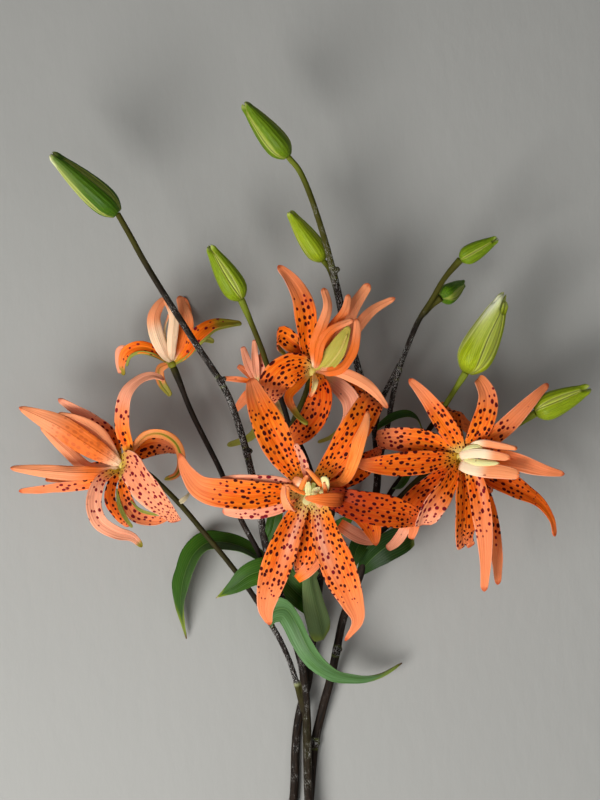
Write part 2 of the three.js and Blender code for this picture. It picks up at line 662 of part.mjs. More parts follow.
function pedicelRadius(share) {
  const flare = THREE.MathUtils.smoothstep(share, 1 - FLARE_LENGTH, 1);
  return PEDICEL_RADIUS * THREE.MathUtils.lerp(1, PEDICEL_FLARE, flare);
}

// A leaf scar: a small cone that stands out of the stem.
const SCAR = { radius: 1.3, length: 3.4, sides: 6 };

function scar({ at, towards }, grow) {
  const geometry = new THREE.CylinderGeometry(
    SCAR.radius * 0.55 + grow, SCAR.radius + grow, SCAR.length + 2 * grow, SCAR.sides);
  const turn = new THREE.Quaternion().setFromUnitVectors(
    new THREE.Vector3(0, 1, 0), new THREE.Vector3(...towards).normalize());
  geometry.translate(0, SCAR.length / 2, 0).applyQuaternion(turn).translate(...at);
  return solidOf(geometry);
}

function stemSolid({ name, axis, pedicels }, grow = 0) {
  const parts = [
    tube(axis, STEM_SIDES, stemRadius, grow),
    ...pedicels.map(({ line }) => tube(line, PEDICEL_SIDES, pedicelRadius, grow)),
    ...SCARS.filter(({ stem }) => stem === name).map((place) => scar(place, grow)),
  ];
  return join(parts);
}

// How wide a petal is along its length, as a share of its widest place.
const PETAL_SHAPE = { root: 0.34, widest: 0.48, tip: 0.1 };
const LEAF_SHAPE = { root: 0.3, widest: 0.4, tip: 0.08 };

function widthAt(share, { root, widest, tip }) {
  if (share < widest) return THREE.MathUtils.lerp(root, 1, Math.sin((Math.PI / 2) * (share / widest)));
  const beyond = (share - widest) / (1 - widest);
  return THREE.MathUtils.lerp(tip, 1, Math.cos((Math.PI / 2) * beyond) ** 0.9);
}

// A petal or a leaf: a thin blade that is thickest along its midrib, with six points round it and its edges
// lifted by a share of half its width. Its two faces are split into triangles alike.
const BLADE_UNDERSIDE = [1, 2];
const CUP = 0.2;

function blade({ line, width, face }, shape, thickness) {
  const steps = THREE.MathUtils.clamp(Math.round(smooth(line).getLength() / BLADE_STEP), 4, 9);
  const rings = framesAlong(line, steps, face).map(({ share, point, tangent, normal: up }) => {
    const across = new THREE.Vector3().crossVectors(tangent, up);
    const half = (width / 2) * widthAt(share, shape);
    const lift = CUP * half;
    const place = (sideways, upwards) =>
      point.clone().addScaledVector(across, sideways).addScaledVector(up, upwards);
    return [
      place(-half, lift + EDGE_THICKNESS / 2),
      place(-half, lift - EDGE_THICKNESS / 2),
      place(0, -thickness / 2),
      place(half, lift - EDGE_THICKNESS / 2),
      place(half, lift + EDGE_THICKNESS / 2),
      place(0, thickness / 2),
    ];
  });
  return solidOf(loft(rings, BLADE_UNDERSIDE));
}

function ball(centre, radius) {
  return solidOf(new THREE.IcosahedronGeometry(radius, 1).translate(...centre));
}

function offset(point, from) {
  return point.map((value, i) => value + from[i]);
}

// A bloom's petals, or its petal-like stamens, grown from one knot.
function bloomSolid(heart, axis, petals, knotHeight, knotRadius) {
  const along = new THREE.Vector3(...axis).normalize().multiplyScalar(knotHeight);
  const knot = ball(offset(along.toArray(), heart), knotRadius);
  const blades = petals.map((petal) => {
    const line = petal.line.map((p) => offset(p, heart));
    return blade({ face: axis, ...petal, line }, PETAL_SHAPE, PETAL_THICKNESS);
  });
  return join([knot, ...blades]);
}

// A closed bud: three outer petals with a ridge along each, which part at the tip.
const BUD_SHAPE = { neck: 0.3, ridge: 0.07, split: 0.4, splitFrom: 0.82 };

function budSolid({ base, tip, width }) {
  const frames = framesAlong([base, tip], BUD_STEPS, [0, 0, 1]);
  const rings = frames.map(({ share, point, tangent, normal }) => {
    const across = new THREE.Vector3().crossVectors(tangent, normal);
    const swell = Math.sin(Math.PI * (0.06 + 0.9 * share) ** 0.62) ** 0.8;
    const parting = BUD_SHAPE.split * THREE.MathUtils.smoothstep(share, BUD_SHAPE.splitFrom, 1);
    return Array.from({ length: BUD_SIDES }, (_, k) => {
      const angle = (k / BUD_SIDES) * 2 * Math.PI;
      const radius = (width / 2) * swell * (1 + (BUD_SHAPE.ridge + parting) * Math.cos(3 * angle));
      return point.clone()
        .addScaledVector(normal, radius * Math.cos(angle))
        .addScaledVector(across, -radius * Math.sin(angle));
    });
  });
  return solidOf(loft(rings));
}

// What lies under the table top, which is cut from every piece so that the low ones rest on a flat spot.
const TABLE = { size: 600, depth: 20 };
const table = solidOf(
  new THREE.BoxGeometry(TABLE.size, TABLE.size, TABLE.depth).translate(0, 0, -TABLE.depth / 2));

const bunch = new THREE.Group();

function addMesh(name, solid, material) {
  const { numProp, numVert, vertProperties, triVerts } = wholeBody(solid.subtract(table)).getMesh();
  const positions = new Float32Array(numVert * 3);
  for (let i = 0; i < numVert; i += 1) {
    positions.set(vertProperties.subarray(i * numProp, i * numProp + 3), i * 3);
  }
  const geometry = new THREE.BufferGeometry();
  geometry.setAttribute("position", new THREE.BufferAttribute(positions, 3));
  geometry.setIndex(new THREE.BufferAttribute(triVerts, 1));
  geometry.computeVertexNormals();
  const mesh = new THREE.Mesh(geometry, material);
  mesh.name = name;
  bunch.add(mesh);
}

const clearOfStems = join(STEMS.map((stem) => stemSolid(stem, CLEARANCE)));

for (const stem of STEMS) {
  addMesh(stem.name, stemSolid(stem), COLOURS.stem);
}

const KNOT_DEPTH = -0.6; // the receptacle's centre, behind the heart along the flower's axis
const HEART_HEIGHT = CORE_RADIUS + HEART_RADIUS + CLEARANCE + KNOT_DEPTH;

for (const { name, heart, axis, petals, heartPetals } of BLOOMS) {
  let petalSolid = bloomSolid(heart, axis, petals, KNOT_DEPTH, CORE_RADIUS).subtract(clearOfStems);
  if (heartPetals.length > 0) {
    const heartSolid = bloomSolid(heart, axis, heartPetals, HEART_HEIGHT, HEART_RADIUS);
    const room = bloomSolid(heart, axis, heartPetals.map((p) => ({ ...p, width: p.width + 1 })),
      HEART_HEIGHT, HEART_RADIUS + CLEARANCE);
    petalSolid = petalSolid.subtract(room);
    addMesh(`${name}_heart`, heartSolid, COLOURS.heart);
  }
  addMesh(name, petalSolid, COLOURS.petal);
}

for (const bud of BUDS) {
  addMesh(bud.name, budSolid(bud).subtract(clearOfStems), COLOURS.bud);
}

for (const leaf of LEAVES) {
  const solid = blade(leaf, LEAF_SHAPE, LEAF_THICKNESS);
  addMesh(leaf.name, solid.subtract(clearOfStems), COLOURS.leaf);
}

export default bunch;
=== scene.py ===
"""Looks for a bunch of three cut stems of a double tiger lily, lying on a pale table.

Six spotted orange blooms with swept-back petals, eight green buds, lance-shaped leaves and dark woolly
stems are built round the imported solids, in the same frame. Sizes are in millimetres until a mesh is made,
then metres.
"""

from __future__ import annotations

import logging
import math
import random
from collections.abc import Sequence
from dataclasses import dataclass
from enum import Enum

import bpy
import numpy as np
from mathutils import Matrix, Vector
from mathutils.kdtree import KDTree

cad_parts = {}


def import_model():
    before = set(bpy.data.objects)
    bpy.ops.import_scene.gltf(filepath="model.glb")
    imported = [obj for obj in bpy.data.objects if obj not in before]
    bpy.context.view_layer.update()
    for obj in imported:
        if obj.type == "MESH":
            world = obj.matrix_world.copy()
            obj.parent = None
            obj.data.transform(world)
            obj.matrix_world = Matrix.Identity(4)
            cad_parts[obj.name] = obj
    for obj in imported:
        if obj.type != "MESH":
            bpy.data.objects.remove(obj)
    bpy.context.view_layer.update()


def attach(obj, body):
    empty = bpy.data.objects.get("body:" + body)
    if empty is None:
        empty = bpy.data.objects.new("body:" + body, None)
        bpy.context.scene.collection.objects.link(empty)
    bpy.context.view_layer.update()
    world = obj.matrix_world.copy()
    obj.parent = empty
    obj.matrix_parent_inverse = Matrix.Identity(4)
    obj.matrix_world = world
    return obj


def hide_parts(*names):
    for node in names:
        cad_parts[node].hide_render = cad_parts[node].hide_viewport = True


LOG = logging.getLogger("tiger_lily")
MM = 0.001
BODY = "root"

Point = tuple[float, float, float]
Colour = tuple[float, float, float, float]
Readings = tuple[np.ndarray, np.ndarray, np.ndarray]


def tint(code: str) -> Colour:
    """Turns a screen colour into the linear colour that a shader takes.

    Args:
        code: the screen colour's six digits.

    Returns:
        The linear colour, with full cover.
    """
    parts = [int(code[k:k + 2], 16) / 255 for k in (0, 2, 4)]
    linear = [p / 12.92 if p <= 0.04045 else ((p + 0.055) / 1.055) ** 2.4 for p in parts]
    return (*linear, 1.0)


def smooth_step(value: np.ndarray, low: float, high: float) -> np.ndarray:
    """Goes from 0 at low to 1 at high without a kink."""
    share = np.clip((value - low) / (high - low), 0, 1)
    return share * share * (3 - 2 * share)


def bump_at(value: np.ndarray, middle: float, width: float) -> np.ndarray:
    """A bell of height 1 round middle."""
    return np.exp(-(((value - middle) / width) ** 2))


class Tone(Enum):
    """How a petal is coloured.

    Each tone says from which share of the petal on it is salmon, how deep its orange is, how far cream
    reaches from its root, and how pink its salmon is. The deep orange is partly the petal's own
    red-orange and partly painted shade, darkest towards the root, for petals that lie in shade.
    Cream above 1 turns the whole petal green.
    """

    VIVID = (0.84, 0.12, 0.0, 1.0)
    RICH = (0.9, 0.42, 0.0, 1.0)
    WARM = (0.66, 0.05, 0.02, 1.0)
    SALMON = (0.42, 0.0, 0.04, 1.0)
    ROSE = (0.42, 0.0, 0.0, 1.45)
    FLUSH = (0.6, 0.0, 0.0, 1.3)
    SHELL = (-0.2, 0.0, 0.0, 1.2)
    IVORY = (-0.2, 0.0, 0.38, 1.0)
    FADED = (1.3, 0.45, 1.32, 1.0)
    PEACH = (0.25, 0.0, 0.0, 1.0)
    PINK = (0.12, 0.0, 0.0, 1.45)
    PALE = (-0.2, 0.0, 0.12, 1.45)
    BLUSH = (-0.2, 0.0, 0.55, 1.45)
    MILK = (0.4, 0.0, 0.6, 1.0)
    LIME = (1.3, 0.0, 1.2, 1.0)
    DEEP = (1.0, 0.75, 0.0, 1.0)
    DARK = (1.0, 1.1, 0.0, 1.0)
    CREAM = (0.75, 0.0, 0.8, 1.0)
    OLIVE = (1.3, 0.0, 1.4, 1.0)


class Tip(Enum):
    """How a blade ends."""

    NARROW = "narrow"
    BROAD = "broad"
    TORN = "torn"


def add_object(name: str, data: bpy.types.ID) -> bpy.types.Object:
    """Puts a new object into the scene.

    Args:
        name: the object's name.
        data: its mesh, light or camera.

    Returns:
        The object.
    """
    thing = bpy.data.objects.new(name, data)
    bpy.context.collection.objects.link(thing)
    return thing


def turns(count: int) -> np.ndarray:
    """Gives the angles of even places round a ring."""
    return np.linspace(0, 2 * math.pi, count, endpoint=False)


class Line:
    """A smooth line through points, read at even shares of its length."""

    STEPS = 24
    NUDGE = 0.004

    def __init__(self, points: Sequence[Point]) -> None:
        """Lays the line through the points.

        Args:
            points: the points, in millimetres.
        """
        p = np.array(points, float)
        p = np.vstack([2 * p[0] - p[1], p, 2 * p[-1] - p[-2]])
        t = np.linspace(0, 1, self.STEPS, endpoint=False)[:, None]
        runs = []
        for before, start, end, after in zip(p, p[1:], p[2:], p[3:]):
            leave = (end - before) / 2
            arrive = (after - start) / 2
            runs.append(
                start + leave * t + (3 * (end - start) - 2 * leave - arrive) * t**2
                + (2 * (start - end) + leave + arrive) * t**3
            )
        self.places = np.vstack([*runs, p[-2:-1]])
        steps = np.linalg.norm(np.diff(self.places, axis=0), axis=1)
        self.travel = np.concatenate([[0], np.cumsum(steps)])
        self.length = float(self.travel[-1])

    def at(self, share: np.ndarray) -> np.ndarray:
        """Gives the places at shares of the length."""
        along = np.asarray(share) * self.length
        return np.stack([np.interp(along, self.travel, self.places[:, k]) for k in range(3)], -1)

    def frames(self, share: np.ndarray, face: Point) -> tuple[np.ndarray, ...]:
        """Turns a set of axes along the line, without twisting them about it.

        Args:
            share: where the axes are read, in rising order.
            face: which way the first normal looks, as near as the line lets it.

        Returns:
            The places, the directions of the line, the normals and the directions across.
        """
        ahead = self.at(np.clip(share + self.NUDGE, 0, 1)) - self.at(np.clip(share - self.NUDGE, 0, 1))
        along = ahead / np.linalg.norm(ahead, axis=1)[:, None]
        normal = np.array(face, float)
        normals = []
        for direction in along:
            normal = normal - direction * (normal @ direction)
            normal = normal / np.linalg.norm(normal)
            normals.append(normal)
        up = np.array(normals)
        return self.at(share), along, up, np.cross(along, up)


class Skin:
    """Gathers the vertices, faces and readings of one mesh."""

    READINGS = ("place", "reach", "tone")

    def __init__(self) -> None:
        """Starts empty."""
        self.points: list[np.ndarray] = []
        self.faces: list[tuple[int, ...]] = []
        self.slots: list[int] = []
        self.readings: dict[str, list[np.ndarray]] = {name: [] for name in self.READINGS}
        self.count = 0

    def add(
        self, points: np.ndarray, faces: Sequence[tuple[int, ...]], slots: Sequence[int],
        readings: Readings,
    ) -> None:
        """Adds one closed shell.

        Args:
            points: its vertices, in millimetres.
            faces: its faces, counted from its own first vertex.
            slots: the material slot of each face.
            readings: three rows for each vertex. They are the place in millimetres across and along the
                surface, the reach (share of the length, side and how many spots there are), and the tone
                (three amounts that the finish colours by).
        """
        self.faces += [tuple(k + self.count for k in face) for face in faces]
        self.slots += slots
        self.points.append(points)
        for name, values in zip(self.READINGS, readings):
            self.readings[name].append(values)
        self.count += len(points)

    def thing(self, name: str, materials: Sequence[bpy.types.Material]) -> bpy.types.Object:
        """Makes the object, in metres.

        Args:
            name: the object's name.
            materials: one for each slot.

        Returns:
            The object, in the scene.
        """
        mesh = bpy.data.meshes.new(name)
        points = np.vstack(self.points)
        points[:, 2] = np.maximum(points[:, 2], 0)
        mesh.from_pydata((points * MM).tolist(), [], self.faces)
        mesh.polygons.foreach_set("material_index", self.slots)
        self.write(mesh, tuple(np.vstack(values) for values in self.readings.values()))
        mesh.shade_smooth()
        for material in materials:
            mesh.materials.append(material)
        mesh.update()
        return add_object(name, mesh)

    @classmethod
    def write(cls, mesh: bpy.types.Mesh, readings: Readings) -> None:
        """Stores on each vertex what the finishes read.

        Args:
            mesh: the mesh.
            readings: the place, reach and tone of each vertex.
        """
        for name, values in zip(cls.READINGS, readings):
            if name in mesh.attributes:
                mesh.attributes.remove(mesh.attributes[name])
            layer = mesh.attributes.new(name, "FLOAT_VECTOR", "POINT")
            layer.data.foreach_set("vector", values.astype(np.float32).ravel())


def stand_in(thing: bpy.types.Object, node: str) -> None:
    """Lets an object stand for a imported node.

    Args:
        thing: the finished object.
        node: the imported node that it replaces.
    """
    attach(thing, BODY)
    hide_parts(node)
    LOG.info("%s: %d faces", thing.name, len(thing.data.polygons))


class Value:
    """A shader socket that takes part in Python expressions on numbers."""

    def __init__(self, shader: Shader, socket: bpy.types.NodeSocket) -> None:
        """Keeps the shader and one of its output sockets."""
        self.shader = shader
        self.socket = socket

    def other(self, name: str) -> Value:
        """Gives another output of the same node."""
        return Value(self.shader, self.socket.node.outputs[name])

    def __add__(self, other: Number) -> Value:
        """Sum."""
        return self.shader.maths("ADD", self, other)

    __radd__ = __add__

    def __sub__(self, other: Number) -> Value:
        """Difference."""
        return self.shader.maths("SUBTRACT", self, other)

    def __rsub__(self, other: Number) -> Value:
        """Difference, the other way round."""
        return self.shader.maths("SUBTRACT", other, self)

    def __mul__(self, other: Number) -> Value:
        """Product."""
        return self.shader.maths("MULTIPLY", self, other)

    __rmul__ = __mul__

    def __abs__(self) -> Value:
        """Size without sign."""
        return self.shader.maths("ABSOLUTE", self)


Number = Value | float


class Shader:
    """A material, and one method that adds any node to it."""

    def __init__(self, name: str, **constants: float | Colour) -> None:
        """Makes the material.

        Args:
            name: the material's name.
            constants: values for the surface's own sockets, by name, with _ for a space.
        """
        self.material = bpy.data.materials.new(name)
        self.material.use_nodes = True
        self.tree = self.material.node_tree
        self.surface = self.tree.nodes["Principled BSDF"]
        for key, value in constants.items():
            self.surface.inputs[key.replace("_", " ")].default_value = value

    def add(self, kind: str, settings: dict | None, sockets: dict | None, output: int | str = 0) -> Value:
        """Adds one node.

        Args:
            kind: the node's type, without its first word.
            settings: what is set on the node first.
            sockets: values or links, by a socket's name or number.
            output: which output is wanted.

        Returns:
            That output.
        """
        node = self.tree.nodes.new("ShaderNode" + kind)
        for key, value in (settings or {}).items():
            setattr(node, key, value)
        for key, value in (sockets or {}).items():
            if isinstance(value, Value):
                self.tree.links.new(value.socket, node.inputs[key])
            else:
                node.inputs[key].default_value = value
        return Value(self, node.outputs[output])

    def maths(self, operation: str, *values: Number) -> Value:
        """Adds a Math node."""
        return self.add("Math", {"operation": operation}, dict(enumerate(values)))

    def sine(self, value: Value) -> Value:
        """Sine of an angle."""
        return self.maths("SINE", value)

    def step(self, value: Number, low: Number, high: Number) -> Value:
        """Goes from 0 at low to 1 at high without a kink; low may be above high."""
        sockets = {"Value": value, "From Min": low, "From Max": high}
        return self.add("MapRange", {"interpolation_type": "SMOOTHSTEP"}, sockets)

    def mix(self, share: Number, first: Value | Colour, second: Value | Colour) -> Value:
        """Mixes two colours."""
        return self.add("Mix", {"data_type": "RGBA"}, {0: share, 6: first, 7: second}, 2)

    def layers(self, colour: Value, *coats: tuple[Number, Value | Colour]) -> Value:
        """Lays coats over a colour one after another, each by its own share.

        Args:
            colour: what lies under them.
            coats: the share and the colour of each.

        Returns:
            The colour that is seen.
        """
        for share, coat in coats:
            colour = self.mix(share, colour, coat)
        return colour

    def parts(self, vector: Value) -> tuple[Value, Value, Value]:
        """Splits a vector."""
        x = self.add("SeparateXYZ", None, {0: vector})
        return x, x.other("Y"), x.other("Z")

    def readings(self) -> tuple[Value, tuple[Value, Value, Value], tuple[Value, Value, Value]]:
        """Reads what the mesh stores on its vertices.

        Returns:
            The place as a vector, and the parts of the reach and of the tone.
        """
        place, reach, tone = (
            self.add("Attribute", {"attribute_name": name}, None, "Vector") for name in Skin.READINGS)
        return place, self.parts(reach), self.parts(tone)

    def scaled(self, vector: Value, by: Point) -> Value:
        """Stretches a vector along its own axes."""
        return self.add("VectorMath", {"operation": "MULTIPLY"}, {0: vector, 1: by})

    def noise(self, vector: Value, by: Point, detail: float = 2.0) -> Value:
        """Cloudy noise from 0 to 1, on a vector that is stretched first."""
        sockets = {"Vector": self.scaled(vector, by), "Scale": 1.0, "Detail": detail}
        return self.add("TexNoise", None, sockets)

    def waves(self, angle: Value) -> Value:
        """Waves from 0 to 1."""
        return self.sine(angle) * 0.5 + 0.5

    def finish(
        self, colour: Value, roughness: Number, height: Value, distance: float
    ) -> bpy.types.Material:
        """Links the surface.

        Args:
            colour: the colour.
            roughness: how matt it is.
            height: relief from 0 to 1.
            distance: how high 1 stands, in millimetres.

        Returns:
            The finished material.
        """
        relief = self.add("Bump", None, {"Strength": 0.9, "Distance": distance * MM, "Height": height})
        for key, value in {"Base Color": colour, "Roughness": roughness, "Normal": relief}.items():
            if isinstance(value, Value):
                self.tree.links.new(value.socket, self.surface.inputs[key])
            else:
                self.surface.inputs[key].default_value = value
        return self.material


@dataclass(frozen=True)
class Spots:
    """The raised dark spots of a petal.

    `cell` is how far apart they are, in millimetres. The other sizes are shares of it.
    """

    cell: float = 2.7
    stretch: float = 0.7
    smallest: float = 0.16
    spread: float = 0.16
    soft: float = 0.03
    wander: float = 0.2
    halo: float = 0.07
    disorder: float = 0.74

    def mask(self, shader: Shader, place: Value, amount: Value) -> tuple[Value, Value]:
        """Draws the spots.

        Args:
            shader: the material that they are in.
            place: millimetres across and along.
            amount: how many of them are there, from 0 to 1.

        Returns:
            The spots, and the same spots a little wider.
        """
        drift = shader.add("TexNoise", None, {"Vector": place, "Scale": 0.45, "Detail": 1.0}, "Color")
        drift = shader.scaled(drift, (self.wander,) * 3)
        cells = shader.scaled(place, (1 / self.cell, self.stretch / self.cell, 0))
        cells = shader.add("VectorMath", {"operation": "ADD"}, {0: cells, 1: drift})
        sockets = {"Vector": cells, "Scale": 1.0, "Randomness": self.disorder}
        near = shader.add("TexVoronoi", {"voronoi_dimensions": "2D"}, sockets)
        size, chance, _ = shader.parts(near.other("Color"))
        there = shader.step(amount - chance, -0.03, 0.03)
        radius = (self.smallest + self.spread * size) * (0.6 + 0.4 * amount)
        core = shader.step(near, radius + self.soft, radius - self.soft) * there
        halo = shader.step(near, radius + self.halo, radius) * there
        return core, halo


@dataclass(frozen=True)
class PetalFace:
    """The spotted upper face of a petal: vivid orange that turns salmon towards the tip."""

    name: str = "petal_face"
    vivid: Colour = tint("ee5800")
    glow: Colour = tint("ff8418")
    salmon: Colour = tint("f58c58")
    pink: Colour = tint("fba883")
    # deep: partly the petal's own red-orange, partly painted shade.
    deep: Colour = tint("b82e04")
    cream: Colour = tint("f6dc94")
    green: Colour = tint("bfae35")
    olive: Colour = tint("7e861c")
    # The dark root of the deepest petals: partly their own colour, partly painted shade.
    ember_and_shade: Colour = tint("6e1802")
    wine: Colour = tint("7c0422")
    ink: Colour = tint("3a0006")
    nub: tuple[float, float] = (0.955, 0.985)
    spots: Spots = Spots()

    def material(self) -> bpy.types.Material:
        """Makes the material.

        Returns:
            The finished material.
        """
        s = Shader(
            self.name, Subsurface_Weight=0.08, Subsurface_Radius=(1.0, 0.4, 0.2),
            Subsurface_Scale=0.8 * MM, Specular_IOR_Level=0.1,
        )
        place, (share, side, amount), (salmon, deep, cream) = s.readings()
        streaks = s.noise(place, (1.5, 0.05, 1.0), 3.0)
        cloud = s.noise(place, (0.16, 0.1, 1.0))
        # The deep tone darkens the orange towards the root, and darkest of all at the root of the deepest
        # petals: partly the petal's own red-orange, partly painted shade on petals that lie in shade.
        orange = s.layers(
            s.mix(s.step(streaks + 0.4 * cloud, 0.5, 0.85), self.vivid, self.glow),
            (deep * (0.75 + 0.25 * cloud) * (1 - 0.65 * share), self.deep),
            (s.step(deep, 0.85, 1.2) * s.step(share, 0.8, 0.1) * 0.85, self.ember_and_shade),
        )
        # A paler rim along the edges: partly the petal's own pale margin, partly a painted highlight along
        # the edge.
        edge = s.step(abs(side), 0.84, 0.98)
        pale = salmon + 0.35 * (streaks - 0.5) * s.step(salmon, 0.0, 0.3) + 0.45 * edge * (1 - deep)
        veins = s.step(s.sine(abs(side) * 21.0 + streaks * 9.0), 0.2, 1.0)
        core, halo = self.spots.mask(s, place, amount)
        reddish = s.maths("MAXIMUM", s.step(amount, 0.9, 0.35), s.step(salmon, 0.3, 1.1))
        colour = s.layers(
            orange,
            (s.step(pale, -0.1, 1.1), self.salmon),
            (s.step(pale, 0.95, 1.5), self.pink),
            (s.step(share, *self.nub) * 0.55, self.deep),
            (veins * 0.16, self.deep),
            (s.step(share, 0.2, 0.02) * (0.8 - 0.4 * deep), self.green),
            (s.maths("MINIMUM", cream, 1.0), self.cream),
            (s.step(cream, 1.0, 1.3) * 0.85, s.mix(s.step(cream, 1.25, 1.4), self.green, self.olive)),
            (s.step(cream, 0.0, -1.0) * 0.85, self.olive),
            (halo * 0.5, self.wine),
            (core * 0.97, s.mix(reddish, self.ink, self.wine)),
        )
        furrow = s.step(abs(side), 0.0, 0.1)
        ribs = s.waves(abs(side) * 21.0 + streaks * 4.0)
        height = furrow * 0.5 + ribs * 0.25 + streaks * 0.5 + core * 0.2
        return s.finish(colour, 0.46 + 0.14 * cloud + 0.2 * core, height, 0.25)


@dataclass(frozen=True)
class PetalBack:
    """The back of a petal: paler, ribbed, with the spots shining through."""

    name: str = "petal_back"
    peach: Colour = tint("ea7228")
    salmon: Colour = tint("f89a68")
    # deep: partly the petal's own deeper colour, partly painted shade.
    deep: Colour = tint("cc4a14")
    cream: Colour = tint("f6cda6")
    shadow: Colour = tint("a83c1c")
    nub: tuple[float, float] = (0.955, 0.985)
    spots: Spots = Spots()

    def material(self) -> bpy.types.Material:
        """Makes the material.

        Returns:
            The finished material.
        """
        s = Shader(
            self.name, Subsurface_Weight=0.12, Subsurface_Radius=(1.0, 0.45, 0.25),
            Subsurface_Scale=1.2 * MM, Specular_IOR_Level=0.14,
        )
        place, (share, side, amount), (salmon, deep, cream) = s.readings()
        streaks = s.noise(place, (1.9, 0.05, 1.0), 3.0)
        cloud = s.noise(place, (0.16, 0.1, 1.0))
        _, halo = self.spots.mask(s, place, amount)
        colour = s.layers(
            s.mix(s.step(salmon + streaks * 0.5, 0.2, 1.1), self.peach, self.salmon),
            # The deep tone: partly the petal's own deeper colour, partly painted shade.
            (deep * 0.7, self.deep),
            (s.maths("MINIMUM", cream + s.step(share, 0.25, 0.0) * 0.5, 1.0), self.cream),
            (halo * 0.35, self.shadow),
            (s.step(share, *self.nub) * 0.5, self.deep),
        )
        ribs = s.waves(abs(side) * 24.0 + streaks * 3.0)
        height = s.step(abs(side), 0.12, 0.0) * 0.6 + ribs * 0.25 + streaks * 0.3
        return s.finish(colour, 0.44 + 0.14 * cloud, height, 0.25)


@dataclass(frozen=True)
class Keel:
    """The green stripe along the back of an outer petal, and its green tip."""

    name: str = "petal_keel"
    green: Colour = tint("7c7d1c")
    lime: Colour = tint("a89c3a")
    peach: Colour = tint("ee8f4c")

    def material(self) -> bpy.types.Material:
        """Makes the material.

        Returns:
            The finished material.
        """
        s = Shader(self.name, Subsurface_Weight=0.1, Subsurface_Scale=MM, Specular_IOR_Level=0.2)
        place, (share, side, _), (_, _, cream) = s.readings()
        streaks = s.noise(place, (1.9, 0.05, 1.0), 3.0)
        stripe = s.step(abs(side) + 0.25 * (streaks - 0.5), 0.5, 0.1) * s.step(share, 0.1, 0.6)
        stripe = s.maths("MAXIMUM", stripe, s.step(abs(cream), 0.1, 1.0))
        colour = s.mix(s.step(abs(side), 0.3, 0.0), self.lime, self.green)
        colour = s.mix(stripe, self.peach, colour)
        height = s.step(abs(side), 0.2, 0.0) * 0.7 + streaks * 0.4
        return s.finish(colour, 0.42 + 0.1 * streaks, height, 0.35)


@dataclass(frozen=True)
class Foliage:
    """A satin leaf with veins that run along it."""

    name: str = "leaf_skin"
    deep: Colour = tint("173603")
    fresh: Colour = tint("467518")
    blue: Colour = tint("6a9060")
    under: Colour = tint("88a268")
    vein: Colour = tint("7c9a4c")
    gold: Colour = tint("96a22e")
    dry: Colour = tint("cdbf98")
    brown: Colour = tint("6a3b2c")

    def material(self) -> bpy.types.Material:
        """Makes the material.

        Returns:
            The finished material.
        """
        s = Shader(self.name, Specular_IOR_Level=0.2)
        place, (share, side, under), (fresh, blue, dry) = s.readings()
        streaks = s.noise(place, (1.6, 0.04, 1.0), 3.0)
        cloud = s.noise(place, (0.12, 0.06, 1.0))
        lines = s.waves(side * 38.0 + streaks * 1.5)
        groove = s.step(abs(side), 0.02, 0.06) * s.step(abs(side), 0.14, 0.08)
        end = s.maths("MAXIMUM", s.step(share + 0.05 * (cloud - 0.5), 0.93, 0.99), s.step(dry, 1.2, 2.0))
        colour = s.layers(
            s.mix(s.step(fresh + 0.5 * (cloud - 0.5), 0.0, 1.0), self.deep, self.fresh),
            (blue * s.step(streaks, 0.1, 0.75), self.blue),
            (under * 0.85, self.under),
            (s.step(lines, 0.6, 1.0) * 0.1, self.vein),
            (s.step(abs(side), 0.05, 0.015) * 0.3, self.vein),
            (groove * 0.3, self.deep),
            (s.step(abs(side), 0.6, 0.1) * 0.3, self.deep),
            (s.step(share + 0.1 * abs(side), 0.86, 0.98) * 0.6, self.gold),
            (s.step(streaks, 0.62, 0.85) * 0.25, self.deep),
            (end * (0.3 + 0.7 * dry), s.mix(dry, self.brown, self.dry)),
            (s.step(share, 0.965, 0.995) * 0.8, self.brown),
        )
        height = s.step(abs(side), 0.0, 0.07) * 0.5 + lines * 0.22 + streaks * 0.25
        return s.finish(colour, 0.36 + 0.18 * streaks + 0.12 * under, height, 0.25)


@dataclass(frozen=True)
class Bark:
    """A dark stem with flecks of white wool, which turns olive and green towards its flowers."""

    name: str = "stem_skin"
    dark: Colour = tint("100c09")
    brown: Colour = tint("30241b")
    olive: Colour = tint("46430f")
    lime: Colour = tint("788424")
    wool: Colour = tint("dcdad4")
    cut: Colour = tint("c9cf96")

    def material(self) -> bpy.types.Material:
        """Makes the material.

        Returns:
            The finished material.
        """
        s = Shader(self.name, Specular_IOR_Level=0.12)
        place, (cut, ring, _), (green, lime, wool) = s.readings()
        streaks = s.noise(place, (1.1, 1.1, 0.12), 4.0)
        grain = s.noise(place, (3.0, 3.0, 1.5), 5.0)
        patch = s.noise(place, (0.3, 0.3, 0.2), 3.0)
        olive = s.mix(s.step(streaks, 0.62, 0.8) * 0.45, self.olive, self.dark)
        bright = s.mix(s.step(streaks, 0.35, 0.75) * 0.35, self.lime, self.olive)
        fleck = s.step(patch + 0.5 * wool, 0.7, 1.05) * s.step(grain + 0.25 * streaks, 0.66, 0.72)
        colour = s.layers(
            s.mix(s.step(streaks + 0.4 * grain, 0.45, 0.95), self.dark, self.brown),
            (s.step(green + 0.4 * (patch - 0.5), 0.2, 0.8), olive),
            (s.step(lime + 0.3 * (patch - 0.5), 0.2, 0.8), bright),
            (fleck * 0.75, self.wool),
            (ring * 0.85, self.cut),
            (cut, s.mix(s.step(grain, 0.3, 0.7), self.cut, self.olive)),
        )
        height = streaks * 0.6 + grain * 0.6 + fleck * 0.4
        return s.finish(colour, 0.55 + 0.3 * fleck + 0.15 * grain, height, 0.4)


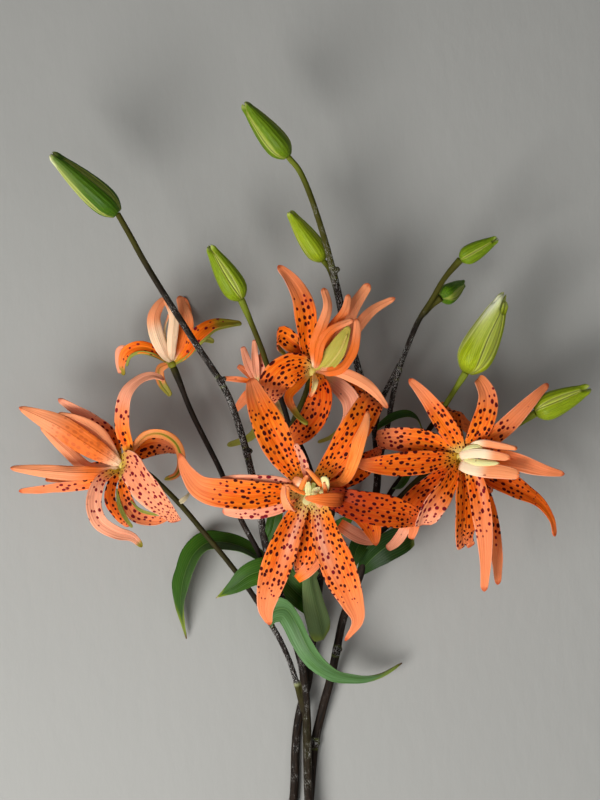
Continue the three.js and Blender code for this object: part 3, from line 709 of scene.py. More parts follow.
@dataclass(frozen=True)
class BudSkin:
    """A closed bud: green with lengthwise stripes, and yellow-green where its petals meet."""

    name: str = "bud_skin"
    dark: Colour = tint("2f520a")
    green: Colour = tint("6a9214")
    lime: Colour = tint("b4bf1e")
    pale: Colour = tint("d6dc80")
    cream: Colour = tint("eef0c8")
    seam: Colour = tint("3c3a14")

    def material(self) -> bpy.types.Material:
        """Makes the material.

        Returns:
            The finished material.
        """
        s = Shader(self.name, Specular_IOR_Level=0.13, Subsurface_Weight=0.06, Subsurface_Scale=MM)
        place, (share, ridge, seam), (lime, dark, pale) = s.readings()
        streaks = s.noise(place, (2.2, 2.2, 0.04), 3.0)
        cloud = s.noise(place, (0.25, 0.25, 0.06))
        edge = s.step(abs(ridge), 0.4, 0.05)
        stripes = s.waves(ridge * 34.0 + streaks * 3.0)
        inside = s.step(ridge, 0.02, -0.08)
        colour = s.layers(
            s.mix(s.step(streaks + 0.5 * cloud, 0.5, 1.0) * 0.7, self.green, self.dark),
            (dark * 0.75, self.dark),
            (s.maths("MINIMUM", edge * 0.4 + lime * 0.8, 1.0), self.lime),
            (stripes * s.step(streaks, 0.3, 0.6) * 0.4, self.dark),
            (s.step(streaks + 0.4 * edge, 0.62, 0.9) * 0.35, self.pale),
            (inside * (0.5 - 0.3 * dark), s.mix(streaks, self.lime, self.pale)),
            (s.step(share, 0.12, 0.0) * (0.2 + 0.3 * lime), self.seam),
            (s.step(share, 0.93, 1.0) * 0.5, self.pale),
            # Pale and cream, strongest on one side of the bud: partly an inner petal's edge, partly a
            # painted highlight.
            (pale * s.step(share + 0.3 * (cloud - 0.5) + 0.3 * edge, 0.25, 0.8), self.pale),
            (pale * s.step(share + 0.4 * (pale - 0.8), 0.62, 0.95), self.cream),
            (seam * 0.7, self.seam),
        )
        height = streaks * 0.6 + cloud * 0.3 + stripes * 0.2
        return s.finish(colour, 0.36 + 0.14 * streaks, height, 0.22)


@dataclass(frozen=True)
class Finishes:
    """Every material that the bunch is dressed in."""

    face: bpy.types.Material
    back: bpy.types.Material
    keel: bpy.types.Material
    heart: bpy.types.Material
    leaf: bpy.types.Material
    bark: bpy.types.Material
    bud: bpy.types.Material

    @classmethod
    def make(cls) -> Finishes:
        """Makes them all.

        Returns:
            The finishes.
        """
        heart = PetalFace(
            "heart_skin", vivid=tint("f57a28"), glow=tint("fb9440"), salmon=tint("f99c66"),
            cream=tint("fde2bc"), green=tint("dcdf86"), deep=tint("ea6428"),
        )
        return cls(
            PetalFace().material(), PetalBack().material(), Keel().material(), heart.material(),
            Foliage().material(), Bark().material(), BudSkin().material(),
        )


@dataclass(frozen=True)
class Cut:
    """How a blade is shaped: its outline, its thickness and the relief of its mesh, in millimetres."""

    root: float
    widest: float
    tip_width: float
    thickness: float
    edge: float
    cup: float
    furrow: float
    keel: float
    wave: float
    taper: float = 0.9
    rib: float = 0.2


PETAL_CUT = Cut(
    root=0.34, widest=0.48, tip_width=2.6, thickness=0.8, edge=0.3, cup=0.2, furrow=0.6, keel=0.35,
    wave=0.6, taper=1.05,
)
HEART_CUT = Cut(
    root=0.34, widest=0.48, tip_width=2.0, thickness=1.3, edge=0.5, cup=0.25, furrow=0.35, keel=0.3,
    wave=0.35,
)
LEAF_CUT = Cut(
    root=0.3, widest=0.4, tip_width=0.5, thickness=0.6, edge=0.3, cup=0.2, furrow=0.5, keel=0.35,
    wave=0.35, taper=1.3, rib=0.1,
)


@dataclass(frozen=True)
class Blade:
    """One petal or leaf, from its root to its tip, in millimetres.

    `face` is where the upper face looks at the root, and `reach` the share of the length that is spotted.
    A `keel` above 0 gives a green stripe on the back, and is the share from which the tip is green.
    `blunt`, `taper` and `cup` are counted against the cut's own, and `root` and `widest` stand for the
    cut's own where they aren't 0. `wash` is a pale wash from the root, over the side that its sign names.
    """

    width: float
    line: Sequence[Point]
    tone: Tone = Tone.VIVID
    face: Point | None = None
    reach: float = 0.85
    tip: Tip = Tip.NARROW
    keel: float = 0.0
    spotting: float = 1.0
    blunt: float = 1.0
    taper: float = 1.0
    root: float = 0.0
    widest: float = 0.0
    cup: float = 1.0
    wash: float = 0.0

    # How finely a blade is cut, what relief all blades have, and the least thickness and height they keep.
    SIDES = (-1, -0.95, -0.84, -0.7, -0.56, -0.42, -0.28, -0.15, -0.07)
    ROW_STEP = 1.7
    FEWEST_ROWS = 20
    MOST_ROWS = 52
    TIP_ROWS = 7
    BODY_SHARE = 0.93
    TIP_SHARE = 0.07
    FINE_STEPS = 240
    MOST_TURN = 7
    RIM = 0.9
    RIPPLE = 0.035
    RIPPLE_LENGTH = 5.5
    FURROW_WIDTH = 0.13
    KEEL_WIDTH = 0.15
    NUB = 0.7
    LEAST_THICKNESS = 0.28
    LOWEST = 0.4

    def outline(self, share: np.ndarray, cut: Cut) -> np.ndarray:
        """Shapes the sides.

        Args:
            share: places along the blade.
            cut: the shape.

        Returns:
            The width at each place, against the widest.
        """
        root = self.root or cut.root
        widest = self.widest or cut.widest
        rise = root + (1 - root) * np.sin(math.pi / 2 * np.minimum(share / widest, 1))
        beyond = np.clip((share - widest) / (1 - widest), 0, 1)
        end = min(cut.tip_width * self.blunt / self.width, 0.6) if self.tip is Tip.NARROW else 0.66
        fall = end + (1 - end) * np.cos(math.pi / 2 * beyond) ** (cut.taper * self.taper)
        round_off = {Tip.NARROW: 0.05, Tip.TORN: 0.02}.get(self.tip, 0.09)
        closing = np.clip((share - 1 + round_off) / round_off, 0, 1)
        return np.where(share < widest, rise, fall) * np.sqrt(1 - 0.97 * closing**2)

    def recess(self, side: np.ndarray, dice: random.Random) -> np.ndarray:
        """Shapes the end.

        Args:
            side: places across the blade.
            dice: the blade's own dice.

        Returns:
            How far short of the tip each place stops, as a share of the length.
        """
        if self.tip is Tip.TORN:
            return 0.07 * bump_at(side, 0.15, 0.4) + 0.04 * bump_at(side, -0.45, 0.12) + 0.03 * (1 + side)
        if self.tip is Tip.BROAD:
            return 0.02 * (1 + np.sin(4 * side + dice.uniform(0, 6)))
        return 0 * side

    def add_to(self, skin: Skin, cut: Cut, heart: Point, axis: Point, seed: str, back: int = 1) -> None:
        """Adds the blade to a mesh, as a closed shell with an upper face and a back.

        Args:
            skin: the mesh.
            cut: the shape.
            heart: where the blade's line is counted from.
            axis: where the upper face looks if the blade doesn't say.
            seed: what its small irregularities are drawn from.
            back: the material slot of the back.
        """
        dice = random.Random(seed)
        line = Line(self.line)
        rows = int(np.clip(round(line.length / self.ROW_STEP), self.FEWEST_ROWS, self.MOST_ROWS))
        body = np.linspace(0, self.BODY_SHARE, rows)
        close = self.BODY_SHARE + self.TIP_SHARE * np.sin(np.linspace(0, math.pi / 2, self.TIP_ROWS)[1:])
        share = np.concatenate([body, close])[:, None]
        half = np.array([*self.SIDES, 0])
        side = np.concatenate([half, -half[-2::-1]])[None, :]
        stop = share - self.recess(side, dice) * smooth_step(share, 0.6, 1)
        fine = np.linspace(0, 1, self.FINE_STEPS)
        points, _, ups, acrosses = line.frames(fine, self.face or axis)
        turn = math.radians(dice.uniform(-self.MOST_TURN, self.MOST_TURN)) * fine[:, None] ** 1.5
        turned = ups * np.cos(turn) + acrosses * np.sin(turn)
        acrosses = acrosses * np.cos(turn) - ups * np.sin(turn)
        place, up, across = (
            np.stack([np.interp(stop, fine, column) for column in table.T], -1)
            for table in (points, turned, acrosses)
        )
        reach_half = self.width / 2 * self.outline(share, cut)
        ripple = np.sin(stop * line.length / self.RIPPLE_LENGTH + dice.uniform(0, 6) + 2 * np.sign(side))
        sideways = side * reach_half * np.where(abs(side) > self.RIM, 1 + self.RIPPLE * ripple, 1)
        size = reach_half / (self.width / 2)
        lift = cut.cup * self.cup * reach_half * abs(side) ** 1.5
        for near in (-1, 1):
            swing = np.sin(stop * line.length / dice.uniform(3.6, 5.4) + dice.uniform(0, 6))
            swing = swing + 0.5 * np.sin(stop * line.length / dice.uniform(1.9, 2.6) + dice.uniform(0, 6))
            edge = np.where(side * near > 0, abs(side) ** 2.2, 0)
            lift = lift + cut.wave * swing * edge * size * smooth_step(share, 0.06, 0.3)
        scale = np.minimum(size * 1.2, 1) * min(self.width / 11, 1)
        furrow = cut.furrow * bump_at(side, 0, self.FURROW_WIDTH)
        furrow = furrow * smooth_step(share, 0.02, 0.15) * (1.05 - share)
        ribs = cut.rib * np.cos(side * dice.uniform(12, 16) + dice.uniform(-0.6, 0.6)) * (1 - side**2)
        thick = cut.edge + (cut.thickness - cut.edge) * np.sqrt(1 - side**2)
        nub = 1 + self.NUB * bump_at(share, 0.97, 0.025) * (self.tip is Tip.NARROW)
        high = lift + thick / 2 * nub + (ribs - furrow) * scale
        keel = cut.keel * bump_at(side, 0, self.KEEL_WIDTH)
        low = lift - thick / 2 * nub - (keel - 0.6 * ribs) * scale
        low = np.minimum(low, high - self.LEAST_THICKNESS)
        origin = np.array(heart, float)
        top, bottom = (
            place + across * sideways[..., None] + up * level[..., None] + origin for level in (high, low))
        top[..., 2] = np.maximum(top[..., 2], self.LOWEST)
        self.add_shell(skin, top, bottom, self.readings(share, side, stop, size, line, dice), back)

    def readings(
        self, share: np.ndarray, side: np.ndarray, stop: np.ndarray, size: np.ndarray, line: Line,
        dice: random.Random,
    ) -> Readings:
        """Works out what the finishes read at each vertex.

        Args:
            share: how far along each row is.
            side: how far across each column is.
            stop: how far along each vertex is.
            size: the width of each row, against the widest.
            line: the midrib.
            dice: the blade's own dice.

        Returns:
            The place, the reach and the tone, as Skin.add takes them.
        """
        flat = np.zeros_like(stop)
        narrow = np.maximum(size[:, 0], 0.42)
        steps = np.diff(share[:, 0], prepend=0) * line.length / narrow
        across = side * self.width / 2 + flat + dice.uniform(0, 400)
        along = np.cumsum(steps)[:, None] + flat + dice.uniform(0, 400)
        place = np.stack([across, along, flat], -1)
        spots = smooth_step(-stop, -self.reach - 0.08, -self.reach + 0.22) * smooth_step(stop, 0.01, 0.07)
        shown = 0.25 + 0.75 * stop if self.root > 0.6 and self.reach == 0 else stop
        reach = np.stack([shown, side + flat, spots * self.spotting * (self.reach > 0)], -1)
        salmon_from, deep, cream, pinkness = self.tone.value
        salmon = smooth_step(stop, salmon_from - 0.25, salmon_from + 0.2) * pinkness
        washed = bump_at(side, 0.4 * np.sign(self.wash), 0.42) * smooth_step(-stop, -0.75, -0.3)
        salmon = np.maximum(salmon, abs(self.wash) * washed)
        creamy = cream if cream > 1 else smooth_step(-stop, -cream - 0.15, -cream + 0.1) * (cream > 0)
        if self.keel:
            end = 1 - self.keel
            green_from, green_to = self.keel - min(0.15, 1.5 * end), self.keel + min(0.08, 0.3 * end)
            creamy = creamy - smooth_step(stop, green_from, green_to)
        return place, reach, np.stack([salmon, deep + flat, creamy + flat], -1)

    @staticmethod
    def add_shell(skin: Skin, top: np.ndarray, bottom: np.ndarray, readings: Readings, back: int) -> None:
        """Closes two grids of points into a shell.

        Args:
            skin: the mesh.
            top: the upper face, by row and column.
            bottom: the back.
            readings: what the finishes read on each.
            back: the material slot of the back.
        """
        rows, columns = top.shape[:2]
        under = rows * columns
        faces = []
        slots = []
        for r in range(rows - 1):
            for c in range(columns - 1):
                a = r * columns + c
                b = a + columns
                faces += [(a, a + 1, b + 1, b), (a + under, b + under, b + 1 + under, a + 1 + under)]
                slots += [0, back]
            a = r * columns
            b = a + columns
            faces.append((a, b, b + under, a + under))
            a, b = a + columns - 1, b + columns - 1
            faces.append((a, a + under, b + under, b))
            slots += [0, 0]
        last = (rows - 1) * columns
        for c in range(columns - 1):
            faces.append((c, c + under, c + 1 + under, c + 1))
            faces.append((last + c, last + c + 1, last + c + 1 + under, last + c + under))
            slots += [0, 0]
        points = np.vstack([top.reshape(-1, 3), bottom.reshape(-1, 3)])
        skin.add(points, faces, slots, tuple(np.vstack([grid.reshape(-1, 3)] * 2) for grid in readings))


@dataclass(frozen=True)
class Stamen(Blade):
    """A petal-like stamen of a heart: it has no spots, and its edges bend away from its face."""

    face: Point | None = (0, 0, 1)
    reach: float = 0.0
    root: float = 0.8
    cup: float = -1.0


def add_round(
    skin: Skin, rings: np.ndarray, ends: tuple[Point, Point], readings: Readings | None = None,
    slot: int = 0,
) -> None:
    """Adds a closed round body: rings of points, and a middle point at each end.

    Args:
        skin: the mesh.
        rings: the rings, by row and by place round them.
        ends: the middle of the first and the last ring.
        readings: the place, reach and tone at each point of the rings, or none where they are read later.
        slot: the material slot.
    """
    rows, sides = rings.shape[:2]
    faces = []
    for r in range(rows - 1):
        for k in range(sides):
            a, b = r * sides + k, r * sides + (k + 1) % sides
            faces.append((a, a + sides, b + sides, b))
    first, last = rows * sides, rows * sides + 1
    for k in range(sides):
        faces.append((k, (k + 1) % sides, first))
        faces.append(((rows - 1) * sides + (k + 1) % sides, (rows - 1) * sides + k, last))
    points = np.vstack([rings.reshape(-1, 3), np.array(ends)])
    grids = []
    for grid in readings or [np.zeros_like(rings)] * 3:
        flat = grid.reshape(-1, 3)
        grids.append(np.vstack([flat, flat[:sides].mean(0), flat[-sides:].mean(0)]))
    skin.add(points, faces, [slot] * len(faces), tuple(grids))


@dataclass(frozen=True)
class Bloom:
    """A double flower: petals that grow from one receptacle, and in some a heart of petal-like stamens."""

    name: str
    heart: Point
    axis: Point
    petals: Sequence[Blade]
    heart_petals: Sequence[Blade] = ()
    knot_radius: float = 2.7
    knot_depth: float = 0.6
    green: bool = False
    heart_radius: float = 2.5
    heart_height: float = 5.7

    KNOT_SIDES = 24
    KNOT_ROWS = 12
    KNOT_RISE = 1.4

    def knot(self, skin: Skin, radius: float, height: float, slot: int, tone: Point) -> None:
        """Adds the rounded body that blades grow from.

        Args:
            skin: the mesh.
            radius: its radius.
            height: how far it is up the flower's axis.
            slot: its material slot.
            tone: what its finish is coloured by.
        """
        axis = np.array(Vector(self.axis).normalized())
        across = np.array(Vector(self.axis).orthogonal().normalized())
        other = np.cross(axis, across)
        middle = np.array(self.heart) + axis * height
        turn = turns(self.KNOT_SIDES)[None, :]
        rise = np.linspace(-self.KNOT_RISE, self.KNOT_RISE, self.KNOT_ROWS)[:, None]
        wide = radius * np.cos(rise) * (1 + 0.05 * np.cos(3 * turn))
        place = np.stack([wide * np.cos(turn), wide * np.sin(turn), radius * np.sin(rise) + 0 * turn], -1)
        first, second, tall = (place[..., k, None] for k in range(3))
        rings = middle + (first * across + second * other + tall * axis)
        flat = 0 * wide
        reach = np.stack([flat + 0.3, flat + 0.05, flat], -1)
        ends = (middle - axis * radius, middle + axis * radius)
        add_round(skin, rings[:, ::-1], ends, (place, reach, np.zeros_like(place) + tone), slot)

    def build(self, finishes: Finishes) -> None:
        """Makes the flower and its heart.

        Args:
            finishes: every material.
        """
        skin = Skin()
        tone = (0, 0, 1.4) if self.green else (0, 0, 1.2)
        self.knot(skin, self.knot_radius, -self.knot_depth, 2 if self.green else 0, tone)
        for k, petal in enumerate(self.petals):
            back = 2 if petal.keel else 1
            petal.add_to(skin, PETAL_CUT, self.heart, self.axis, f"{self.name} petal {k}", back)
        petals = skin.thing(f"{self.name}_petals", [finishes.face, finishes.back, finishes.keel])
        stand_in(petals, self.name)
        if not self.heart_petals:
            return
        skin = Skin()
        self.knot(skin, self.heart_radius, self.heart_height, 0, (0, 0, 1.25))
        for k, petal in enumerate(self.heart_petals):
            petal.add_to(skin, HEART_CUT, self.heart, self.axis, f"{self.name} heart {k}")
        heart = skin.thing(f"{self.name}_stamens", [finishes.heart, finishes.heart])
        stand_in(heart, f"{self.name}_heart")


@dataclass(frozen=True)
class Bud:
    """A closed bud from where its stalk ends to its tip: three ribbed petals that part at the tip."""

    name: str
    base: Point
    tip: Point
    width: float
    lime: float = 0.0
    dark: float = 0.0
    pale: float = 0.0
    spin: float = 0.0
    opening: float = 0.05
    ridge: float = 0.07
    split: float = 0.3
    split_from: float = 0.82
    inner_width: float = 0.42
    inner_depth: float = 0.07
    widest: float = 0.29
    stalk_end: float = 0.36
    tip_end: float = 0.27
    slant: float = 0.0
    # Where round the bud its pale is strongest: partly an inner petal's pale edge, partly a painted
    # highlight on the lit side.
    lit_pale_side: float = 60.0
    lining_size: float = 0.8
    lining_reach: float = 0.985

    SIDES = 144
    ROWS = 54
    ROW_CURVE = 0.92
    FOOT_CURVE = 2.9
    HEAD_CURVE = 1.55
    PETALS = 3
    STRIPES = 21
    SEAM_WIDTH = 0.045

    def rings(self, swell_by: float, turn_by: float, reach: float) -> tuple[np.ndarray, Readings]:
        """Shapes the bud's surface.

        Args:
            swell_by: its size against the bud.
            turn_by: how far it is turned about the bud's axis, in radians.
            reach: its length against the bud.

        Returns:
            The rings, and the readings that its finish takes.
        """
        line = Line([self.base, tuple((np.array(self.base) + np.array(self.tip)) / 2), self.tip])
        share = np.linspace(0, 1, self.ROWS) ** self.ROW_CURVE
        _, along, up, across = line.frames(share, (0, 0, 1))
        start = np.array(self.base, float)
        share = share[:, None]
        turn = turns(self.SIDES)[None, :]
        below = np.clip((self.widest - share) / self.widest, 0, 1)
        above = np.clip((share - self.widest) / (1 - self.widest), 0, 1)
        swell = 1 - (1 - self.stalk_end) * below**self.FOOT_CURVE
        swell = swell - (1 - self.tip_end) * above**self.HEAD_CURVE
        swell = swell * np.sqrt(1 - 0.75 * np.clip((share - 0.94) / 0.06, 0, 1) ** 2)
        parting = self.split * smooth_step(share, self.split_from, 1)
        lobes = np.cos(self.PETALS * turn)
        third = math.pi / self.PETALS
        apart = third - np.abs((turn + third) % (2 * third) - third)
        strip = self.inner_width * np.sin(math.pi * np.clip(share, 0.02, 0.98)) ** 0.8
        inside = smooth_step(strip - apart, -0.05, 0.04)
        seam = bump_at(apart, strip, self.SEAM_WIDTH)
        ribs = 0.014 * np.cos(self.STRIPES * turn) * (1 - inside) + 0.03 * bump_at(apart, 0, 0.07) * inside
        step = self.inner_depth * inside + 0.04 * seam
        radius = self.width / 2 * swell_by * swell * (1 + (self.ridge + parting) * lobes + ribs - step)
        notch = self.opening * smooth_step(share, 0.8, 1) * (1 - lobes) / 2
        height = line.length * (share * reach - notch)
        leaning = line.length * self.slant * smooth_step(share, 0.6, 1)
        height = height + leaning * np.cos(turn + math.radians(self.spin - 90))
        angle = turn + turn_by + math.radians(self.spin)
        rings = (
            start + height[..., None] * along[:, None] + (radius * np.cos(angle))[..., None] * up[:, None]
            - (radius * np.sin(angle))[..., None] * across[:, None]
        )
        flat = 0 * radius
        place = np.stack([radius * np.cos(angle), radius * np.sin(angle), height], -1)
        readings = np.stack([share + flat, (apart - strip) / 0.6 + flat, seam + flat], -1)
        # The pale is strongest on one side: partly the pale edge of an inner petal, partly a painted
        # highlight on the lit side.
        lit = 0.52 + 0.52 * np.cos(angle - math.radians(self.lit_pale_side)) + flat
        tone = np.stack([flat + self.lime, flat + self.dark, self.pale * lit**3], -1)
        return rings, (place, readings, tone)

    def build(self, finishes: Finishes) -> None:
        """Makes the bud.

        Args:
            finishes: every material.
        """
        skin = Skin()
        base, tip = np.array(self.base, float), np.array(self.tip, float)
        ends = (base, tip - (tip - base) * (self.opening * 1.05))
        rings, readings = self.rings(1.0, 0.0, 1.0)
        add_round(skin, rings, ends, readings)
        if self.pale > 0:
            rings, readings = self.rings(self.lining_size, math.pi / 3, self.lining_reach)
            add_round(skin, rings, ends, readings)
        stand_in(skin.thing(f"{self.name}_skin", [finishes.bud]), self.name)


@dataclass(frozen=True)
class Leaf:
    """A leaf on a stem, coloured by how fresh, how blue and how dry it is."""

    name: str
    blade: Blade
    fresh: float = 0.3
    blue: float = 0.0
    dry: float = 0.0

    def build(self, finishes: Finishes) -> None:
        """Makes the leaf.

        Args:
            finishes: every material.
        """
        skin = Skin()
        self.blade.add_to(skin, LEAF_CUT, (0, 0, 0), (0, 0, 1), self.name, 0)
        half = len(skin.points[0]) // 2
        skin.readings["tone"] = [np.zeros((2 * half, 3)) + (self.fresh, self.blue, self.dry)]
        reach = skin.readings["reach"][0]
        reach[:half, 2] = 0
        reach[half:, 2] = 1
        stand_in(skin.thing(f"{self.name}_blade", [finishes.leaf]), self.name)


@dataclass(frozen=True)
class Shoot:
    """One round axis of a stem: `green`, `lime` and `wool` are pairs of (share of the length, amount)."""

    line: Sequence[Point]
    green: Sequence[tuple[float, float]] = ((0, 0),)
    lime: Sequence[tuple[float, float]] = ((0, 0),)
    wool: Sequence[tuple[float, float]] = ((0, 0.4),)
    main: bool = False

    def tones(self, share: np.ndarray) -> np.ndarray:
        """Gives the green, lime and wool amounts along the axis."""
        pairs = (self.green, self.lime, self.wool)
        return np.stack([np.interp(share, *zip(*pair)) for pair in pairs], -1)


@dataclass(frozen=True)
class Stem:
    """A stem with its flower stalks and the scars of its lost leaves, fused into one body."""

    name: str
    shoots: Sequence[Shoot]
    scars: Sequence[tuple[Point, Point]] = ()
    rings: Sequence[Point] = ()
    radius: float = 2.6
    top_radius: float = 1.5
    stalk_radius: float = 1.45
    stalk_flare: float = 0.35
    scar_radius: float = 1.3
    scar_length: float = 3.1
    knuckle: float = 0.2
    knuckle_reach: float = 2.2
    bumps: float = 0.016
    soft_forks: int = 3
    voxel: float = 0.42
    fine_step: float = 1.2
    sample_step: float = 0.7

    SIDES = 24
    SCAR_SIDES = 16
    SCAR_PROFILE = ((0.0, 1.25), (0.5, 1.15), (0.8, 1.0), (0.93, 0.8), (1.0, 0.5))

    def radii(self, shoot: Shoot, share: np.ndarray, places: np.ndarray) -> np.ndarray:
        """Gives the radius along an axis, with a knuckle at each scar.

        Args:
            shoot: the axis.
            share: shares of its length.
            places: where they are.

        Returns:
            The radius at each place.
        """
        if shoot.main:
            radius = self.radius + (self.top_radius - self.radius) * share
        else:
            flare = 0.45 * bump_at(share, 0, 0.05) + self.stalk_flare * smooth_step(share, 0.88, 1)
            radius = self.stalk_radius * (1 + flare)
        for at in [*(at for at, _ in self.scars), *self.rings]:
            far = np.linalg.norm(places - np.array(at), axis=1)
            radius = radius + self.knuckle * bump_at(far, 0, self.knuckle_reach)
        return radius

    def add_shoot(self, skin: Skin, shoot: Shoot, dice: random.Random) -> None:
        """Adds one round axis.

        Args:
            skin: the mesh.
            shoot: the axis.
            dice: what its bumps are drawn from.
        """
        line = Line(shoot.line)
        share = np.linspace(0, 1, max(8, round(line.length / self.fine_step)))
        places, along, up, across = line.frames(share, (0, 0, 1))
        turn = turns(self.SIDES)[None, :]
        # The fourth draw has no use of its own: it keeps the draws of the shoots after this one.
        phases = [dice.uniform(0, 6) for _ in range(4)]
        travel = share[:, None] * line.length
        rough = (
            np.sin(2 * turn + travel / 9 + phases[0]) + np.sin(3 * turn - travel / 5 + phases[1])
            + np.sin(5 * turn + travel / 3.1 + phases[2]) * 0.6
        )
        radius = self.radii(shoot, share, places)[:, None] * (0.97 + self.bumps * rough)
        rings = (
            places[:, None] + (radius * np.cos(turn))[..., None] * up[:, None]
            - (radius * np.sin(turn))[..., None] * across[:, None]
        )
        add_round(skin, rings, (places[0], places[-1]))

    def add_scar(self, skin: Skin, at: Point, towards: Point) -> None:
        """Adds the stub that a fallen leaf left.

        Args:
            skin: the mesh.
            at: the middle of the stem there.
            towards: where the stub points.
        """
        out = np.array(Vector(towards).normalized())
        side = np.array(Vector(towards).orthogonal().normalized())
        other = np.cross(out, side)
        turn = turns(self.SCAR_SIDES)
        rings = np.array([
            np.array(at) + out * self.scar_length * reach
            + self.scar_radius * wide * (np.cos(turn)[:, None] * side + np.sin(turn)[:, None] * other)
            for reach, wide in self.SCAR_PROFILE
        ])
        add_round(skin, rings[:, ::-1], (rings[0].mean(0), rings[-1].mean(0)))

    def fuse(self, rough: bpy.types.Object) -> bpy.types.Mesh:
        """Joins the overlapping axes into one skin with soft forks.

        Args:
            rough: the object that holds them. It is removed.

        Returns:
            The fused mesh.
        """
        fuse = rough.modifiers.new("fuse", "REMESH")
        fuse.mode = "VOXEL"
        fuse.voxel_size = self.voxel * MM
        soften = rough.modifiers.new("soften", "SMOOTH")
        soften.factor = 0.5
        soften.iterations = self.soft_forks
        seen = rough.evaluated_get(bpy.context.evaluated_depsgraph_get())
        mesh = bpy.data.meshes.new_from_object(seen)
        bpy.data.objects.remove(rough)
        return mesh

    def dress(self, mesh: bpy.types.Mesh) -> None:
        """Writes on each vertex what the bark reads, from the nearest place on an axis.

        Args:
            mesh: the fused mesh.
        """
        samples = []
        for shoot in self.shoots:
            line = Line(shoot.line)
            share = np.linspace(0, 1, round(line.length / self.sample_step))
            places, _, up, across = line.frames(share, (0, 0, 1))
            samples.append((places, up, across, shoot.tones(share), share[:, None] * line.length))
        places, up, across, tones, travel = (np.vstack(rows) for rows in zip(*samples))
        tree = KDTree(len(places))
        for k, at in enumerate(places):
            tree.insert(at, k)
        tree.balance()
        flat = np.empty(len(mesh.vertices) * 3, np.float32)
        mesh.vertices.foreach_get("co", flat)
        points = flat.reshape(-1, 3) / MM
        nearest = np.array([tree.find(at)[1] for at in points])
        out = points - places[nearest]
        place = np.stack([
            np.einsum("ij,ij->i", out, up[nearest]), np.einsum("ij,ij->i", out, across[nearest]),
            travel[nearest][:, 0],
        ], -1)
        tone = tones[nearest]
        for at, _ in self.scars:
            far = np.linalg.norm(points - np.array(at), axis=1)
            tone[:, 1] = np.maximum(tone[:, 1], 0.4 * bump_at(far, 3.4, 0.9))
            tone[:, 2] = np.maximum(tone[:, 2], 0.75 * bump_at(far, 2.5, 2.0))
        ringed = np.zeros(len(points))
        for at in self.rings:
            far = np.linalg.norm(points - np.array(at), axis=1)
            past = np.sqrt(np.maximum(far**2 - self.stalk_radius**2, 0))
            ringed = np.maximum(ringed, bump_at(past, 0, 0.8))
        foot, after = (Vector(at) for at in self.shoots[0].line[:2])
        ahead = np.array(after - foot)
        ahead = ahead / np.linalg.norm(ahead)
        cut = smooth_step(-(points - np.array(foot)) @ ahead, -0.45, -0.15)
        Skin.write(mesh, (place, np.stack([cut, ringed, 0 * cut], -1), tone))

    def build(self, finishes: Finishes) -> None:
        """Makes the stem.

        Args:
            finishes: every material.
        """
        dice = random.Random(self.name)
        skin = Skin()
        for shoot in self.shoots:
            self.add_shoot(skin, shoot, dice)
        for at, towards in self.scars:
            self.add_scar(skin, at, towards)
        mesh = self.fuse(skin.thing(f"{self.name}_rough", []))
        self.dress(mesh)
        mesh.shade_smooth()
        mesh.materials.clear()
        mesh.materials.append(finishes.bark)
        stand_in(add_object(f"{self.name}_bark", mesh), self.name)


UP: Point = (0, 0, 1)
DOWN: Point = (0, 0, -1)

# A petal's line is counted from its bloom's heart. All other points are in the bunch's own frame.

